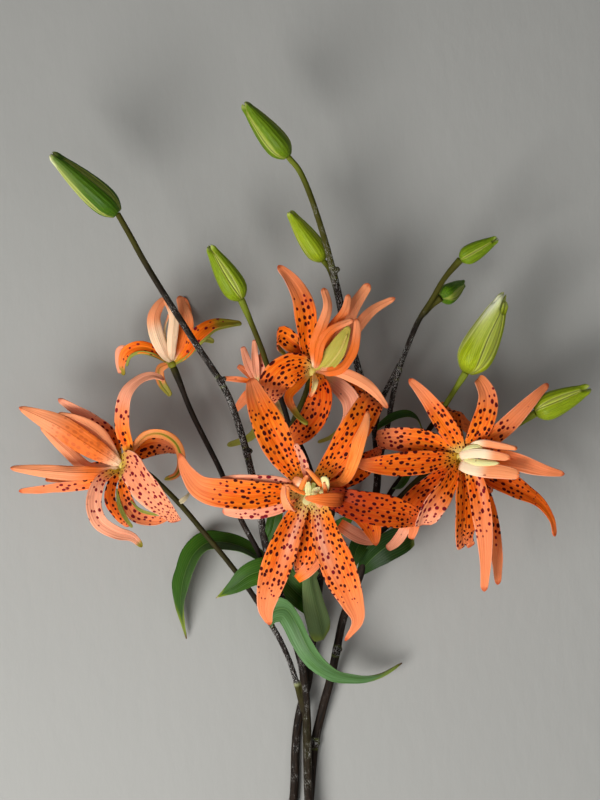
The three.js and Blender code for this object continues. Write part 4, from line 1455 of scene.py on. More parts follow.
FRONT_BLOOM = Bloom(
    "front_bloom", (3.5, 20.5, 60), (0.05, -0.1, 1),
    [
        Blade(16.5, [(-2, 2.5, 0), (-11.5, 16.5, 5), (-19.5, 31.5, 6), (-25.5, 45.5, 1), (-29, 55.5, -6)],
            reach=0.8, blunt=1.8, widest=0.5),
        Blade(15, [(2.5, 2.5, 0), (14.5, 18, 5), (23, 31, 6), (30, 43, 1), (33, 45.5, -7), (34, 41, -14)],
            reach=1.1, tip=Tip.BROAD),
        Blade(15, [(-2.5, 0, 0), (-15, -1, 4), (-28, -2, 6), (-42, -1, 5), (-53, 1.5, 1), (-60, 8.5, -4),
            (-64.5, 18.5, -8)], Tone.WARM, reach=0.62),
        Blade(11.5, [(-2, -2, -2), (-16, -6.5, -2), (-28, -8.6, -2), (-37, -10, -4), (-43, -10.5, -8)],
            Tone.PINK, widest=0.5),
        Blade(4.6, [(-3, 1.5, 0), (-14, 5, 4), (-26, 6, 6), (-36, 6.2, 5.5), (-44, 5.6, 2)], Tone.PINK,
            reach=0.7),
        Blade(15, [(-1, -3, 0), (-5, -10, 3), (-12, -25, 6), (-18, -43, 4), (-21.5, -58, -2),
            (-19.5, -67, -10)], Tone.WARM, reach=0.78, wash=-1.5),
        Blade(13, [(0, -3, -2), (-1, -14, 0), (-1.5, -27, 1), (-3.5, -38, -1), (-5, -45, -4)], reach=1.1,
            widest=0.55, taper=1.3, blunt=1.2),
        Blade(7, [(-6, -44, -2.5), (-2, -40.5, -1), (2, -37, -0.5), (6.5, -33, -0.5)], Tone.PEACH, UP, 0,
            Tip.BROAD, root=0.61),
        Blade(17, [(1, -3, 0), (5.5, -10, 3), (9.5, -25, 6), (15.5, -40, 5), (21.5, -55, 0), (24, -65, -5),
            (18, -75, -10)], Tone.WARM, reach=0.72, taper=1.7, blunt=0.9, wash=1.5),
        Blade(16.5, [(2.5, -0.5, 0), (11, -3, 3), (23, -6.6, 5), (35, -9.4, 3), (46, -11.5, -2),
            (55.5, -14, -9)], Tone.DARK, reach=1.1, blunt=2.8, widest=0.55, taper=0.9),
        Blade(10, [(2, -2, -2), (12, -5, -3), (22, -9, -4), (29, -15, -6), (32, -21, -8),
            (33.5, -27.5, -9)], Tone.DEEP, widest=0.7),
        Blade(7, [(15, -17, -9), (22, -21.5, -10), (28, -24.5, -10), (33, -26, -10.5)], Tone.PINK, UP, 0,
            root=0.9),
        Blade(5.5, [(49, -16, -14), (47, -21, -16), (43.5, -26, -17), (39, -29.5, -17)], Tone.PINK, UP, 0,
            root=0.9, blunt=2),
        Blade(5, [(54, -13, -14), (52.5, -19, -15), (51, -24.5, -16)], Tone.SALMON, UP, 0, root=0.9,
            blunt=1.8),
        Blade(4, [(-0.5, 2.5, 0), (-1, 8, 5), (-3.3, 16, 8), (-7, 23.5, 6.5)], Tone.PALE, reach=1),
        Blade(13, [(2, 1, -2), (10, 4, -2), (21, 9, -6), (30, 15, -13), (36, 21, -20)], Tone.RICH,
            reach=1),
    ],
    [
        Stamen(7.2, [(3, 0, -1), (10, 2.5, -0.5), (17, 5.5, 2.5), (21.5, 14, 9), (24.5, 24, 12.5),
            (27.5, 33, 12.5), (29, 39.5, 10)], root=0.2, widest=0.62, taper=1.2, cup=-0.7),
        Stamen(5, [(-2, -4, -1), (-6.5, -7.5, 0.5), (-9.2, -8.8, 6), (-11.4, -5.8, 10.5),
            (-12.6, -1.5, 12), (-12, 3.4, 11.5)], Tone.PEACH, face=(-1, -0.3, 0.6), root=0.4),
        Stamen(2.4, [(-7.2, -8, 5.5), (-9.6, -5.2, 11), (-10.6, -1.4, 13), (-10.2, 2.4, 12.6)], Tone.RICH,
            face=(-0.6, 0, 1), root=0.5),
        Stamen(2.6, [(6.6, 1, 8), (6, 3.2, 11), (2.4, 7.2, 13), (-1.5, 11.4, 13)], blunt=1.2),
        Stamen(2.9, [(-4.4, -1, 8), (-3.9, 1.4, 10.5), (-2.4, 4.8, 12), (-0.8, 8, 12)], blunt=1.2),
        Stamen(2.4, [(-2, -1.2, 9), (-5.6, 0.4, 11), (-9.6, 2.3, 12.4), (-12.8, 2.8, 12)]),
        Stamen(2.1, [(7.9, -2, 9.5), (7.9, 1, 12), (7.4, 4.6, 12.5)], Tone.WARM),
        Stamen(5.2, [(-2, 2, 7), (-4, 3.4, 10), (-6, 4.8, 11), (-8, 5.6, 9.5)], Tone.MILK, tip=Tip.BROAD,
            cup=-1.1),
        Stamen(5.2, [(5.6, -2, 4), (7.2, 0.6, 9), (7.6, 4, 11.8), (7, 7.4, 12.2)], Tone.LIME,
            tip=Tip.BROAD, root=0.6, widest=0.8, cup=-0.6),
        Stamen(3.6, [(-2.5, -2, 6), (-3, 0, 9), (-1.8, 3, 10.4)], Tone.OLIVE, tip=Tip.BROAD, cup=-1.2),
        Stamen(3.4, [(-0.5, -2.4, 7), (-0.4, 1, 10.6), (-0.8, 4.8, 11)], Tone.LIME, blunt=2, cup=-0.3),
        Stamen(3.4, [(1.4, -2.4, 7), (3, 0.2, 11), (5.6, 1.4, 11.2)], Tone.LIME, blunt=2, cup=-0.3),
        Stamen(7, [(14.5, -4.2, 3), (16, -4.4, 7), (14.5, -4.3, 11), (9.5, -4, 14), (3.5, -3.6, 15.5),
            (-2, -3.1, 15)], Tone.DARK, root=0.5, widest=0.45, taper=1.3, cup=-0.6),
        Stamen(4.4, [(1, 0, 5), (-0.5, -3.6, 8.5), (-2.5, -6.2, 9.5)], Tone.LIME, tip=Tip.BROAD, root=0.0,
            cup=-0.6),
        Stamen(4, [(1, 0, 5), (4.4, -5, 8), (6.2, -8.4, 9)], Tone.MILK, tip=Tip.BROAD, root=0.0, cup=-0.6),
        Stamen(3, [(0.6, -2.4, 7), (1.6, 1, 10.4), (2.6, 4.2, 10.4)], Tone.OLIVE, blunt=2, cup=-0.3),
    ],
)

LEFT_BLOOM = Bloom(
    "left_bloom", (-90, 33, 40), (-0.95, 0.2, 0.25),
    [
        Blade(7.8, [(2.5, 2, 0), (3, 9, 2), (0.3, 18, 4), (0.3, 28, 6), (3.2, 37, 6), (9, 42.8, 4),
            (15.5, 44.6, 2), (21, 42.5, 0)], Tone.ROSE, (-0.2, -0.1, 1), 0.6, widest=0.3, spotting=0.85),
        Blade(7, [(-1, 1, -1), (-5, 14, -4), (-14, 21.5, -3), (-23, 27.5, 0), (-32, 33, 3)], Tone.ROSE,
            (-0.2, -0.2, 1), 0.62),
        Blade(12.5, [(-1, 0, 1), (-10, 5.5, 6), (-20, 12, 8.5), (-31, 19, 8.5), (-42, 24.5, 7),
            (-51.5, 28.8, 4)], Tone.WARM, (0, 0.2, -1), 0.7),
        Blade(6, [(-1, 1, 0), (-11, 15.5, 5), (-22, 22.5, 7), (-32, 25.5, 7)], Tone.PALE, (0, 0.2, -1), 0),
        Blade(6.5, [(-2, 0, -1), (-17, -1.5, -3), (-29, 8, -2), (-41, 19.5, -1)], Tone.PALE, DOWN, 0),
        Blade(7.5, [(-2, -1, 1), (-9, -3.5, 4), (-23.5, -4, 6), (-41, -2.8, 5), (-56, -1.5, 2)],
            Tone.SALMON, DOWN, 0),
        Blade(5.5, [(-2, -1, -1), (-9, -7, -4), (-23.5, -10.5, -6), (-38.5, -12, -7), (-52.5, -13.3, -8)],
            Tone.SALMON, (0, -0.3, 1), 0.75),
        Blade(8, [(-2, -2, 1), (-10.5, -7.5, 8), (-13.8, -18, 12), (-11, -28, 12), (-3, -33.5, 9),
            (5, -36, 5), (9.8, -41, 1)], Tone.PINK, (-0.4, 0, 1), 0.6, keel=0.965, spotting=0.8),
        Blade(6, [(0, -2, -1), (-5, -9, -2), (-6, -18, -3), (-2.5, -25.5, -5), (3, -31, -8)], Tone.RICH,
            (-0.3, 0, 1), 1.0),
        Blade(2.4, [(-2.8, -12, -1), (-1.6, -20, -1.5), (1.2, -26.5, -4), (4.6, -31.5, -7)], Tone.OLIVE,
            UP, 0, blunt=0.6),
        Blade(16.5, [(0, -0.5, 2), (4, 0, 9), (10.5, -8.5, 15), (17.5, -16.5, 16), (23.5, -23.5, 13),
            (27.5, -28, 7)], Tone.SHELL, (-0.2, 0.2, 1), 1.15, blunt=2.3, taper=1.1, widest=0.36,
            root=0.7),
        Blade(7, [(0, -2, 0), (0.5, -14, -2), (6, -25, -4), (16, -28, -5), (24, -26, -5)], Tone.SALMON,
            (0.2, 0.2, 1), 0.95),
        Blade(1.8, [(4, -18, -1), (8.5, -22.6, -2), (14.5, -24.6, -3), (20, -25, -4)], Tone.OLIVE, UP, 0,
            blunt=0.6),
        Blade(5, [(1, 1, 0), (6.5, 9.5, 2), (12.5, 15, 4), (20, 15.5, 4), (27, 10.5, 2), (29.5, 2, 0),
            (27, -5, -2), (21, -7.5, -3)], Tone.WARM, (0, 0.5, -1), 0.8, keel=0.97),
        Blade(11, [(1, 0, -1), (8, 7, -2), (15, 10, -2), (22, 9.5, -3), (28, 6.5, -5)], Tone.WARM,
            (0, -0.2, 1), 1.0),
        Blade(11, [(0, 0, -2), (1, 4, -14), (6, 7.5, -27), (14, 8.5, -36), (22, 8.5, -39.6),
            (28, 7.5, -39.2)]),
        Blade(10, [(-1, 0, -2), (-10, -3, -12), (-25, -6, -19), (-40, -8, -21)]),
    ],
)

RIGHT_BLOOM = Bloom(
    "right_bloom", (80, 37, 46), (0.55, -0.05, 0.83),
    [
        Blade(12.5, [(-2, 0, 0), (-12, -1.5, 4), (-25, -3, 7), (-38, -3.5, 9), (-48, -3.5, 10),
            (-55, -2.5, 9)], Tone.RICH, reach=0.8),
        Blade(12.5, [(-2, 1, 0), (-10, 5, 2), (-19, 8, 3), (-30, 9, 3), (-39, 9, -1), (-43, 9, -8)],
            Tone.WARM, (0.1, -0.2, 1), 1.0, Tip.BROAD),
        Blade(12.5, [(-1, -2, 0), (-5, -9, 6), (-10, -16.5, 10), (-15.5, -24, 11), (-18.5, -30, 8),
            (-19.5, -33.5, 2)], Tone.FLUSH, reach=1.0, blunt=2.8, widest=0.62, taper=0.8, cup=2),
        Blade(14, [(-2, -2, -1), (-8, -8, 0), (-16, -14.5, -1), (-23, -22, -5), (-26, -29.5, -10),
            (-26, -36, -14)], Tone.DEEP, reach=1.0, blunt=2.5, widest=0.6),
        Blade(14, [(0.5, -2, -1), (1, -10, 2), (1.5, -22, 4), (1, -34, 3), (1, -42, -1), (2.5, -46, -5)],
            Tone.VIVID, reach=1.1, tip=Tip.TORN),
        Blade(10.4, [(1.5, -2, 0), (6, -10, 6), (9.2, -25, 10), (11.5, -46, 8), (11, -67, 1)], Tone.SALMON,
            (-0.1, -0.1, 1), 0.62, blunt=1.5, widest=0.3, taper=1.5, wash=-1.2),
        Blade(8, [(2, -2, -1), (9, -13, 0), (14, -31, 1), (17.3, -49, -2), (18.3, -64, -8)], Tone.WARM, UP,
            0.7, blunt=1.3, taper=1.2),
        Blade(12, [(2, -1, -1), (13, -8, 0), (26, -15, 0), (38, -22, -4), (45, -31, -8), (47, -40, -10)],
            Tone.DEEP, reach=0.7, taper=2.6, widest=0.3, blunt=1.1),
        Blade(9.6, [(2, 0, 0), (14, 0, 3), (28, -2.5, 6), (41, -6.5, 5), (51, -8.5, 1)], Tone.SALMON,
            (0, -0.1, 1), 0.3, widest=0.36),
        Blade(9.2, [(1.5, 1.5, 0), (9, 6, 3), (19, 13, 5), (29, 23, 5), (37, 31, 3), (43, 36.5, -1)],
            Tone.SALMON, (0.1, -0.1, 1), 0.6, blunt=1.2, widest=0.36),
        Blade(11, [(0.5, 2, 0), (6, 9, 4), (11, 20, 7), (12.5, 30, 6), (9.5, 37.5, 3), (7.5, 38.5, 0)],
            Tone.WARM, (0, -0.1, 1), 0.85, blunt=2.0),
        Blade(10, [(-0.5, 2, 0), (-3, 8, 4), (-9, 17, 6), (-15, 26, 6), (-21, 33.5, 5), (-26.5, 39, 3)],
            Tone.WARM, (-0.1, -0.1, 1), 0.68, blunt=1.2, widest=0.34),
        Blade(12, [(0, 2, -2), (-2, 9, -2), (-5, 18, -4), (-6, 23.5, -10), (-3, 22, -19), (2, 15, -29),
            (9, 7, -39), (16, 0, -45.5), (20, -8, -45.9)], reach=1.0),
        Blade(8, [(1.5, -1.5, -2), (9, -9, -3), (14, -15, -6), (16, -12, -12)], Tone.SALMON, reach=0.9),
    ],
    [
        Stamen(4.2, [(2, 1.5, 4), (5, 5.8, 7), (10, 6.8, 11), (18, 5.6, 15), (26.5, 4.4, 18)], Tone.IVORY,
            root=0.0, blunt=1.1, cup=-0.8),
        Stamen(5, [(-1, 0.5, 4), (3, 1.6, 8.5), (9, 1.8, 12), (16, 0.9, 14.5), (23.5, -0.4, 16)],
            Tone.MILK, tip=Tip.BROAD, cup=-0.8),
        Stamen(4, [(-0.5, 1.5, 4), (3, 3.8, 8), (7, 4.4, 10), (10, 3.2, 10.5)], Tone.LIME, tip=Tip.BROAD,
            root=0.7, cup=-1.5),
        Stamen(3.4, [(1, -1, 5), (5, -2.2, 9), (11, -2.7, 11.5), (18, -2.8, 13)], Tone.LIME, tip=Tip.BROAD,
            root=0.6, cup=-1.5),
        Stamen(7.4, [(-1, -3.5, 4), (3, -5.2, 8), (11, -6.4, 11.5), (19, -7, 14.5), (28, -8.6, 16.5)],
            Tone.IVORY, tip=Tip.BROAD, root=0.75, cup=-0.6),
    ],
)

UPPER_BLOOM = Bloom(
    "upper_bloom", (5.5, 80, 46), (0.45, 0.65, 0.6),
    [
        Blade(11, [(0, 2, 0), (-3, 13, 5), (-3.5, 25, 8), (-6, 36.5, 8), (-11.5, 46, 6), (-17.5, 52.5, 3)],
            Tone.WARM, (0.3, -0.2, 1), 0.68, blunt=1.2),
        Blade(5.8, [(0.5, 2, 2), (1, 13, 13), (4.5, 22, 17), (7.3, 32, 18), (5, 41, 16)], Tone.WARM, DOWN,
            0, blunt=1.6),
        Blade(5, [(1, 2, 1), (3.5, 10.5, 7), (9.5, 21.5, 11), (15.5, 29.5, 13), (17.8, 38, 12)],
            Tone.VIVID, DOWN, 0, blunt=1.4),
        Blade(7.5, [(1, 2, 0), (8.5, 10.5, 2), (16, 23, 4), (21, 33, 5), (28, 43.5, 5)], Tone.SALMON, DOWN,
            0.3, blunt=1.7),
        Blade(6, [(2, 1, 0), (13.5, 8, 0), (21, 20.5, 2), (29.5, 30, 3), (41, 36.5, 2)], Tone.PINK, DOWN,
            0.5),
        Blade(4.6, [(1, 1, 1), (2.3, 5, 9), (4, 13.5, 14), (9.5, 20.5, 17), (20, 25.5, 17)], Tone.VIVID,
            DOWN, 0),
        Blade(5.6, [(1, 0, 1), (8, -0.5, 8), (14.8, 2, 13), (19.6, 9.5, 15), (21.5, 19, 15),
            (21.5, 26, 14)], Tone.VIVID, DOWN, 0),
        Blade(10, [(1, 0, 1), (6, 3, 6), (10.5, 8.5, 10), (14.5, 15.5, 11.5), (18, 22, 11)], Tone.FADED,
            UP, 0),
        Blade(1.2, [(3, 0, 3), (9, 4, 8.8), (13.5, 10, 12), (17, 18, 12.6)], Tone.LIME, UP, 0),
        Blade(6, [(2, 0, 1), (6, 0.5, 6), (14, -1, 11), (22, -4.5, 14.5), (30, -10, 17),
            (37, -18.5, 16.5)], Tone.PINK, DOWN, 0),
        Blade(17, [(-1.4, 0.3, 0.5), (-4, 2.5, 4), (-11.5, 1.5, 8), (-18, -3.5, 8), (-21.5, -10.5, 4),
            (-23, -18.5, -3)], Tone.WARM, (0.2, 0.2, 1), 1.1),
        Blade(14, [(0.5, -2, 1), (2.5, -5, 5), (4, -12, 8), (2, -20, 7), (-3.5, -28, 4), (-12, -35, -2)],
            Tone.DEEP, UP, 0.95, Tip.BROAD),
        Blade(4.6, [(-1.2, -1.5, -0.5), (-7, -7, 5), (-12.5, -13, 10), (-9.5, -20.5, 13),
            (-2.6, -26.5, 14.5)], Tone.WARM, UP, 0, keel=0.75),
        Blade(2.8, [(0.5, -1.5, 2), (1, -5, 10), (0, -9.5, 12.5), (-1.5, -13, 12)], Tone.CREAM, reach=0),
        Blade(10, [(-1.5, 1.5, 0), (-5, 9.5, 1), (-10.5, 14, 2), (-16, 18, -1), (-17.5, 13, -7),
            (-13.5, 8, -9)], Tone.VIVID, UP, 1.0, keel=0.93),
        Blade(9.5, [(2, -1, -1), (12, -7, -1), (18.5, -14, -1), (19, -22, -2), (15, -29, -5),
            (10, -33, -8)], Tone.PALE, UP, 0),
        Blade(2.8, [(17, -24, -1), (14, -29, -3), (9, -33, -6), (2.5, -35.6, -8)], Tone.OLIVE, UP, 0,
            blunt=0.6),
        Blade(8, [(2, -1, -1), (9, -3.5, -2), (18.5, -9, -3), (27.5, -13, -6)], Tone.DARK, UP, 1.0),
    ],
)

BACK_BLOOM = Bloom(
    "back_bloom", (-65.5, 84, 26), (0.05, 0.97, 0.2), green=True, knot_radius=2.2,
    petals=[
        Blade(6.5, [(-1, 0.5, 0), (-9.5, 6.5, 5), (-16.5, 8, 7), (-22.5, 5.5, 6), (-25, 0.5, 3),
            (-24.5, -6, 0)], Tone.VIVID, (0, 0.4, 1), 0.9, keel=0.93, spotting=0.5),
        Blade(2, [(-1, -0.5, 0), (-9, 4, 5.5), (-16, 5.4, 7.5), (-21, 3.2, 7), (-22.8, -1.5, 4)],
            Tone.OLIVE, UP, 0, blunt=0.6),
        Blade(3.4, [(-19, 4, 4), (-24, 7.5, 4), (-27, 6, 3), (-27.5, 1, 1), (-26, -5, 0)], Tone.PINK, UP,
            0.5, spotting=0.5, root=0.7),
        Blade(5.5, [(-1, 0, -1), (-6.5, -3, -4), (-6, -9.5, -6), (-1, -16.5, -6)], Tone.WARM, DOWN, 0,
            keel=0.7),
        Blade(7.5, [(-0.5, 1, 1), (-3.5, 4.5, 5), (-7.5, 14, 7), (-9, 22.5, 8), (-6.5, 29, 7),
            (-3, 32.5, 5)], Tone.BLUSH, DOWN, 0, blunt=1.4),
        Blade(5.5, [(0, 1.5, 1), (0, 6, 7), (0.5, 14, 10), (1, 24, 11), (-3, 33, 10)], Tone.CREAM, DOWN, 0,
            blunt=1.4),
        Blade(4, [(0, 1.5, 0), (-1.5, 6.5, 1), (-4, 16.5, 2), (-1.5, 25, 2)], Tone.CREAM, reach=0),
        Blade(7, [(0.5, 1, 0), (3, 5, 2), (6, 13, 4), (7.5, 21.5, 4), (5.5, 28.5, 3), (3.5, 34, 2)],
            Tone.WARM, DOWN, 0.3, blunt=1.4),
        Blade(7, [(1, 0, 0), (7.5, 5.5, 4), (12.5, 13.5, 5), (19.5, 19, 3), (27, 20.5, 1), (35, 20, -1)],
            Tone.VIVID, (0, 0.3, 1), 0.9, keel=0.72, spotting=0.5),
        Blade(2.2, [(1.5, -0.5, 0.5), (8, 3.5, 4.5), (14.5, 10.5, 5.5), (21, 16.5, 4), (28, 18.6, 2),
            (35, 19.6, 0)], Tone.OLIVE, UP, 0),
        Blade(5, [(1, 0.5, -1), (9, 8, -5), (15, 12.5, -6), (21, 11, -7)], Tone.OLIVE, UP, 0),
        Blade(8, [(0, 0.5, -1), (2, 8, -11), (4.5, 16, -19), (6.5, 25, -24), (6, 31, -25.6),
            (4.5, 34, -25.4)]),
    ],
)

REAR_BLOOM = Bloom(
    "rear_bloom", (-22, 73, 22), (-0.45, 0.8, 0.3),
    [
        Blade(3.8, [(0, 1, 0), (-1, 6, 4), (-1.8, 14, 6), (-2, 23, 6)], Tone.PALE, UP, 0, blunt=1.2),
        Blade(6, [(0.5, 1, 0), (1.6, 5, 2), (1.6, 10, 3), (0.5, 15.5, 3)], Tone.PINK, UP, 0.9, blunt=1.8,
            spotting=0.6),
        Blade(3.8, [(1, 1, -1), (2.5, 7, -1), (2.4, 14, -1), (1.9, 19, -2)], Tone.SALMON, UP, 0,
            blunt=1.2),
        Blade(4.4, [(-0.5, 1, 0), (-3, 5.5, 2), (-5.5, 11.5, 3), (-8, 19.5, 3)], Tone.PINK, UP, 0,
            blunt=1.5),
        Blade(4, [(-1, 0.5, 0), (-4, 5, 1), (-7, 7.5, 1), (-10.5, 9.8, 1)], Tone.SALMON, UP, 0, blunt=1.5),
        Blade(3, [(-1, 0.5, 0), (-6, 2.2, -1), (-12, 3, -2), (-20, 3.5, -2)], Tone.SALMON, UP, 0),
        Blade(5, [(-1, -0.5, 0), (-5, -4, -2), (-8.5, -8.5, -3), (-12, -13, -4)], Tone.SALMON, UP, 0.5),
        Blade(8, [(0.5, -1, -1), (4, -6, -4), (9, -13.5, -7), (14, -21.5, -9)], Tone.CREAM, UP, 0),
        Blade(4.4, [(-0.5, -1, -1), (0.5, -8, -6), (0.5, -17.5, -10), (-4, -26, -10), (-16, -30.6, -8)],
            Tone.OLIVE, UP, 0),
        Blade(9, [(0, 0, -2), (4, 3, -9), (10, 8, -16), (17, 15, -21), (23, 22, -21.9), (27, 27, -21)]),
    ],
)

BUDS = [
    Bud("bud_1", (-92, 158.5, 51), (-125, 188, 56), 14, dark=0.9, spin=6, inner_width=0.24, stalk_end=0.42,
        pale=0.6, lit_pale_side=100),
    Bud("bud_2", (-7, 187, 49), (-29, 213.5, 54), 13, dark=0.4, lime=0.2, spin=-14, inner_width=0.16),
    Bud("bud_3", (10.5, 135.5, 38), (-6.5, 160, 42), 11, lime=0.75, spin=4, inner_width=0.05),
    Bud("bud_4", (-30.5, 116, 44), (-46.5, 142.5, 50), 12.5, lime=0.5, dark=0.25, spin=54,
        inner_width=0.22),
    Bud("bud_5", (79.5, 136, 40), (98, 146.5, 43), 9.5, lime=0.3, dark=0.2, spin=56, inner_width=0.05,
        opening=0.12),
    Bud("bud_6", (70, 117, 33.5), (82, 125, 22), 10.5, dark=0.3, spin=20),
    Bud("bud_7", (82, 79.5, 46), (101, 117.5, 52), 18, lime=0.95, pale=1.0, opening=0.17, slant=0.05,
        spin=20),
    Bud("bud_8", (117, 59, 42), (144.5, 71.5, 44), 13.5, lime=0.65, dark=0.1, spin=80, inner_width=0.2,
        opening=0.1),
]

LEAVES = [
    Leaf("leaf_arched", Blade(16, [(-15, -17, 25), (-20, -15, 18), (-30.5, -9, 14), (-41, -6.5, 15),
        (-49, -7.5, 15), (-56, -14.5, 14.5), (-60.5, -27, 12), (-61.5, -41, 8), (-59, -56.5, 2.5)],
        face=(0, 1, 0.6), widest=0.6), 0.4),
    Leaf("leaf_pointed", Blade(13, [(-15, -18, 26), (-19, -20, 31), (-27, -23, 32), (-35, -29, 30),
        (-43.5, -34.5, 27)], face=UP, root=0.6, widest=0.25), 0.45, dry=0.9),
    Leaf("leaf_low", Blade(13, [(6.5, -40, 9), (-1, -34, 13), (-9, -25, 14), (-15, -12, 13), (-19, 0, 11)],
        face=UP, root=0.9), 0.7),
    Leaf("leaf_folded", Blade(14, [(9.5, -19, 12), (4.5, -24, 18), (6, -35, 20.5), (8.5, -45, 20),
        (10.5, -54, 16.5), (10.5, -56.5, 13)], face=DOWN, root=0.2, widest=0.75, tip=Tip.BROAD), 0.4,
        blue=0.2),
    Leaf("leaf_front", Blade(13, [(-17, -44, 17.5), (-13, -40.5, 22), (-7.5, -40.5, 26.5),
        (-2.5, -48, 29.5), (4, -61, 29), (13, -70, 25), (25, -74.5, 19.5), (38, -74.3, 14),
        (51, -68.5, 8)], face=(-0.2, 0.2, 1), root=0.9, widest=0.22, taper=0.55, cup=2.0), 0.5, blue=0.8),
    Leaf("leaf_dark", Blade(15, [(30, -21.5, 17), (35, -15, 22.5), (42, -9, 26), (49, -5.5, 26),
        (54.5, -3, 22.5), (56.5, -2.5, 17.5)], face=UP, tip=Tip.BROAD, widest=0.6), -0.8),
    Leaf("leaf_behind", Blade(4.5, [(36.5, 50, 28), (41, 54, 32), (47, 57.5, 33), (53, 58.5, 32),
        (58, 56, 29), (61, 50, 26)], face=(0, 0.6, 1)), 0.35),
    Leaf("leaf_thin", Blade(5, [(46, 20.5, 22), (49, 22, 26), (53, 28, 28), (57, 36, 27)],
        face=(0.6, -0.4, 1)), 0.5),
    Leaf("leaf_hidden", Blade(8, [(-18.5, -6, 30), (-15, 0, 33), (-13, 8, 34), (-9, 19, 32)], face=UP),
        0.3),
    Leaf("leaf_bright", Blade(8, [(12.5, -5, 13), (16, -2, 18), (21, 3, 23), (28, 9, 26)], face=UP), 0.9),
    Leaf("leaf_short", Blade(10, [(34.2, -4, 20), (30, -6, 25), (27, -11, 28), (26, -17, 28),
        (26.5, -22, 26)], face=UP), 0.0),
    Leaf("leaf_small", Blade(6.5, [(11.5, -12, 12), (15, -17, 16), (16, -24, 18), (16.5, -31, 17)],
        face=UP), 0.5),
    Leaf("bract", Blade(2.6, [(-62, 13.5, 29), (-60, 15, 32), (-58, 17, 33.5), (-56, 19.5, 33.5)],
        face=UP), 1.0, dry=2.0),
]

# The height of the middle of a stem that rests on the table.
LYING = 2.25

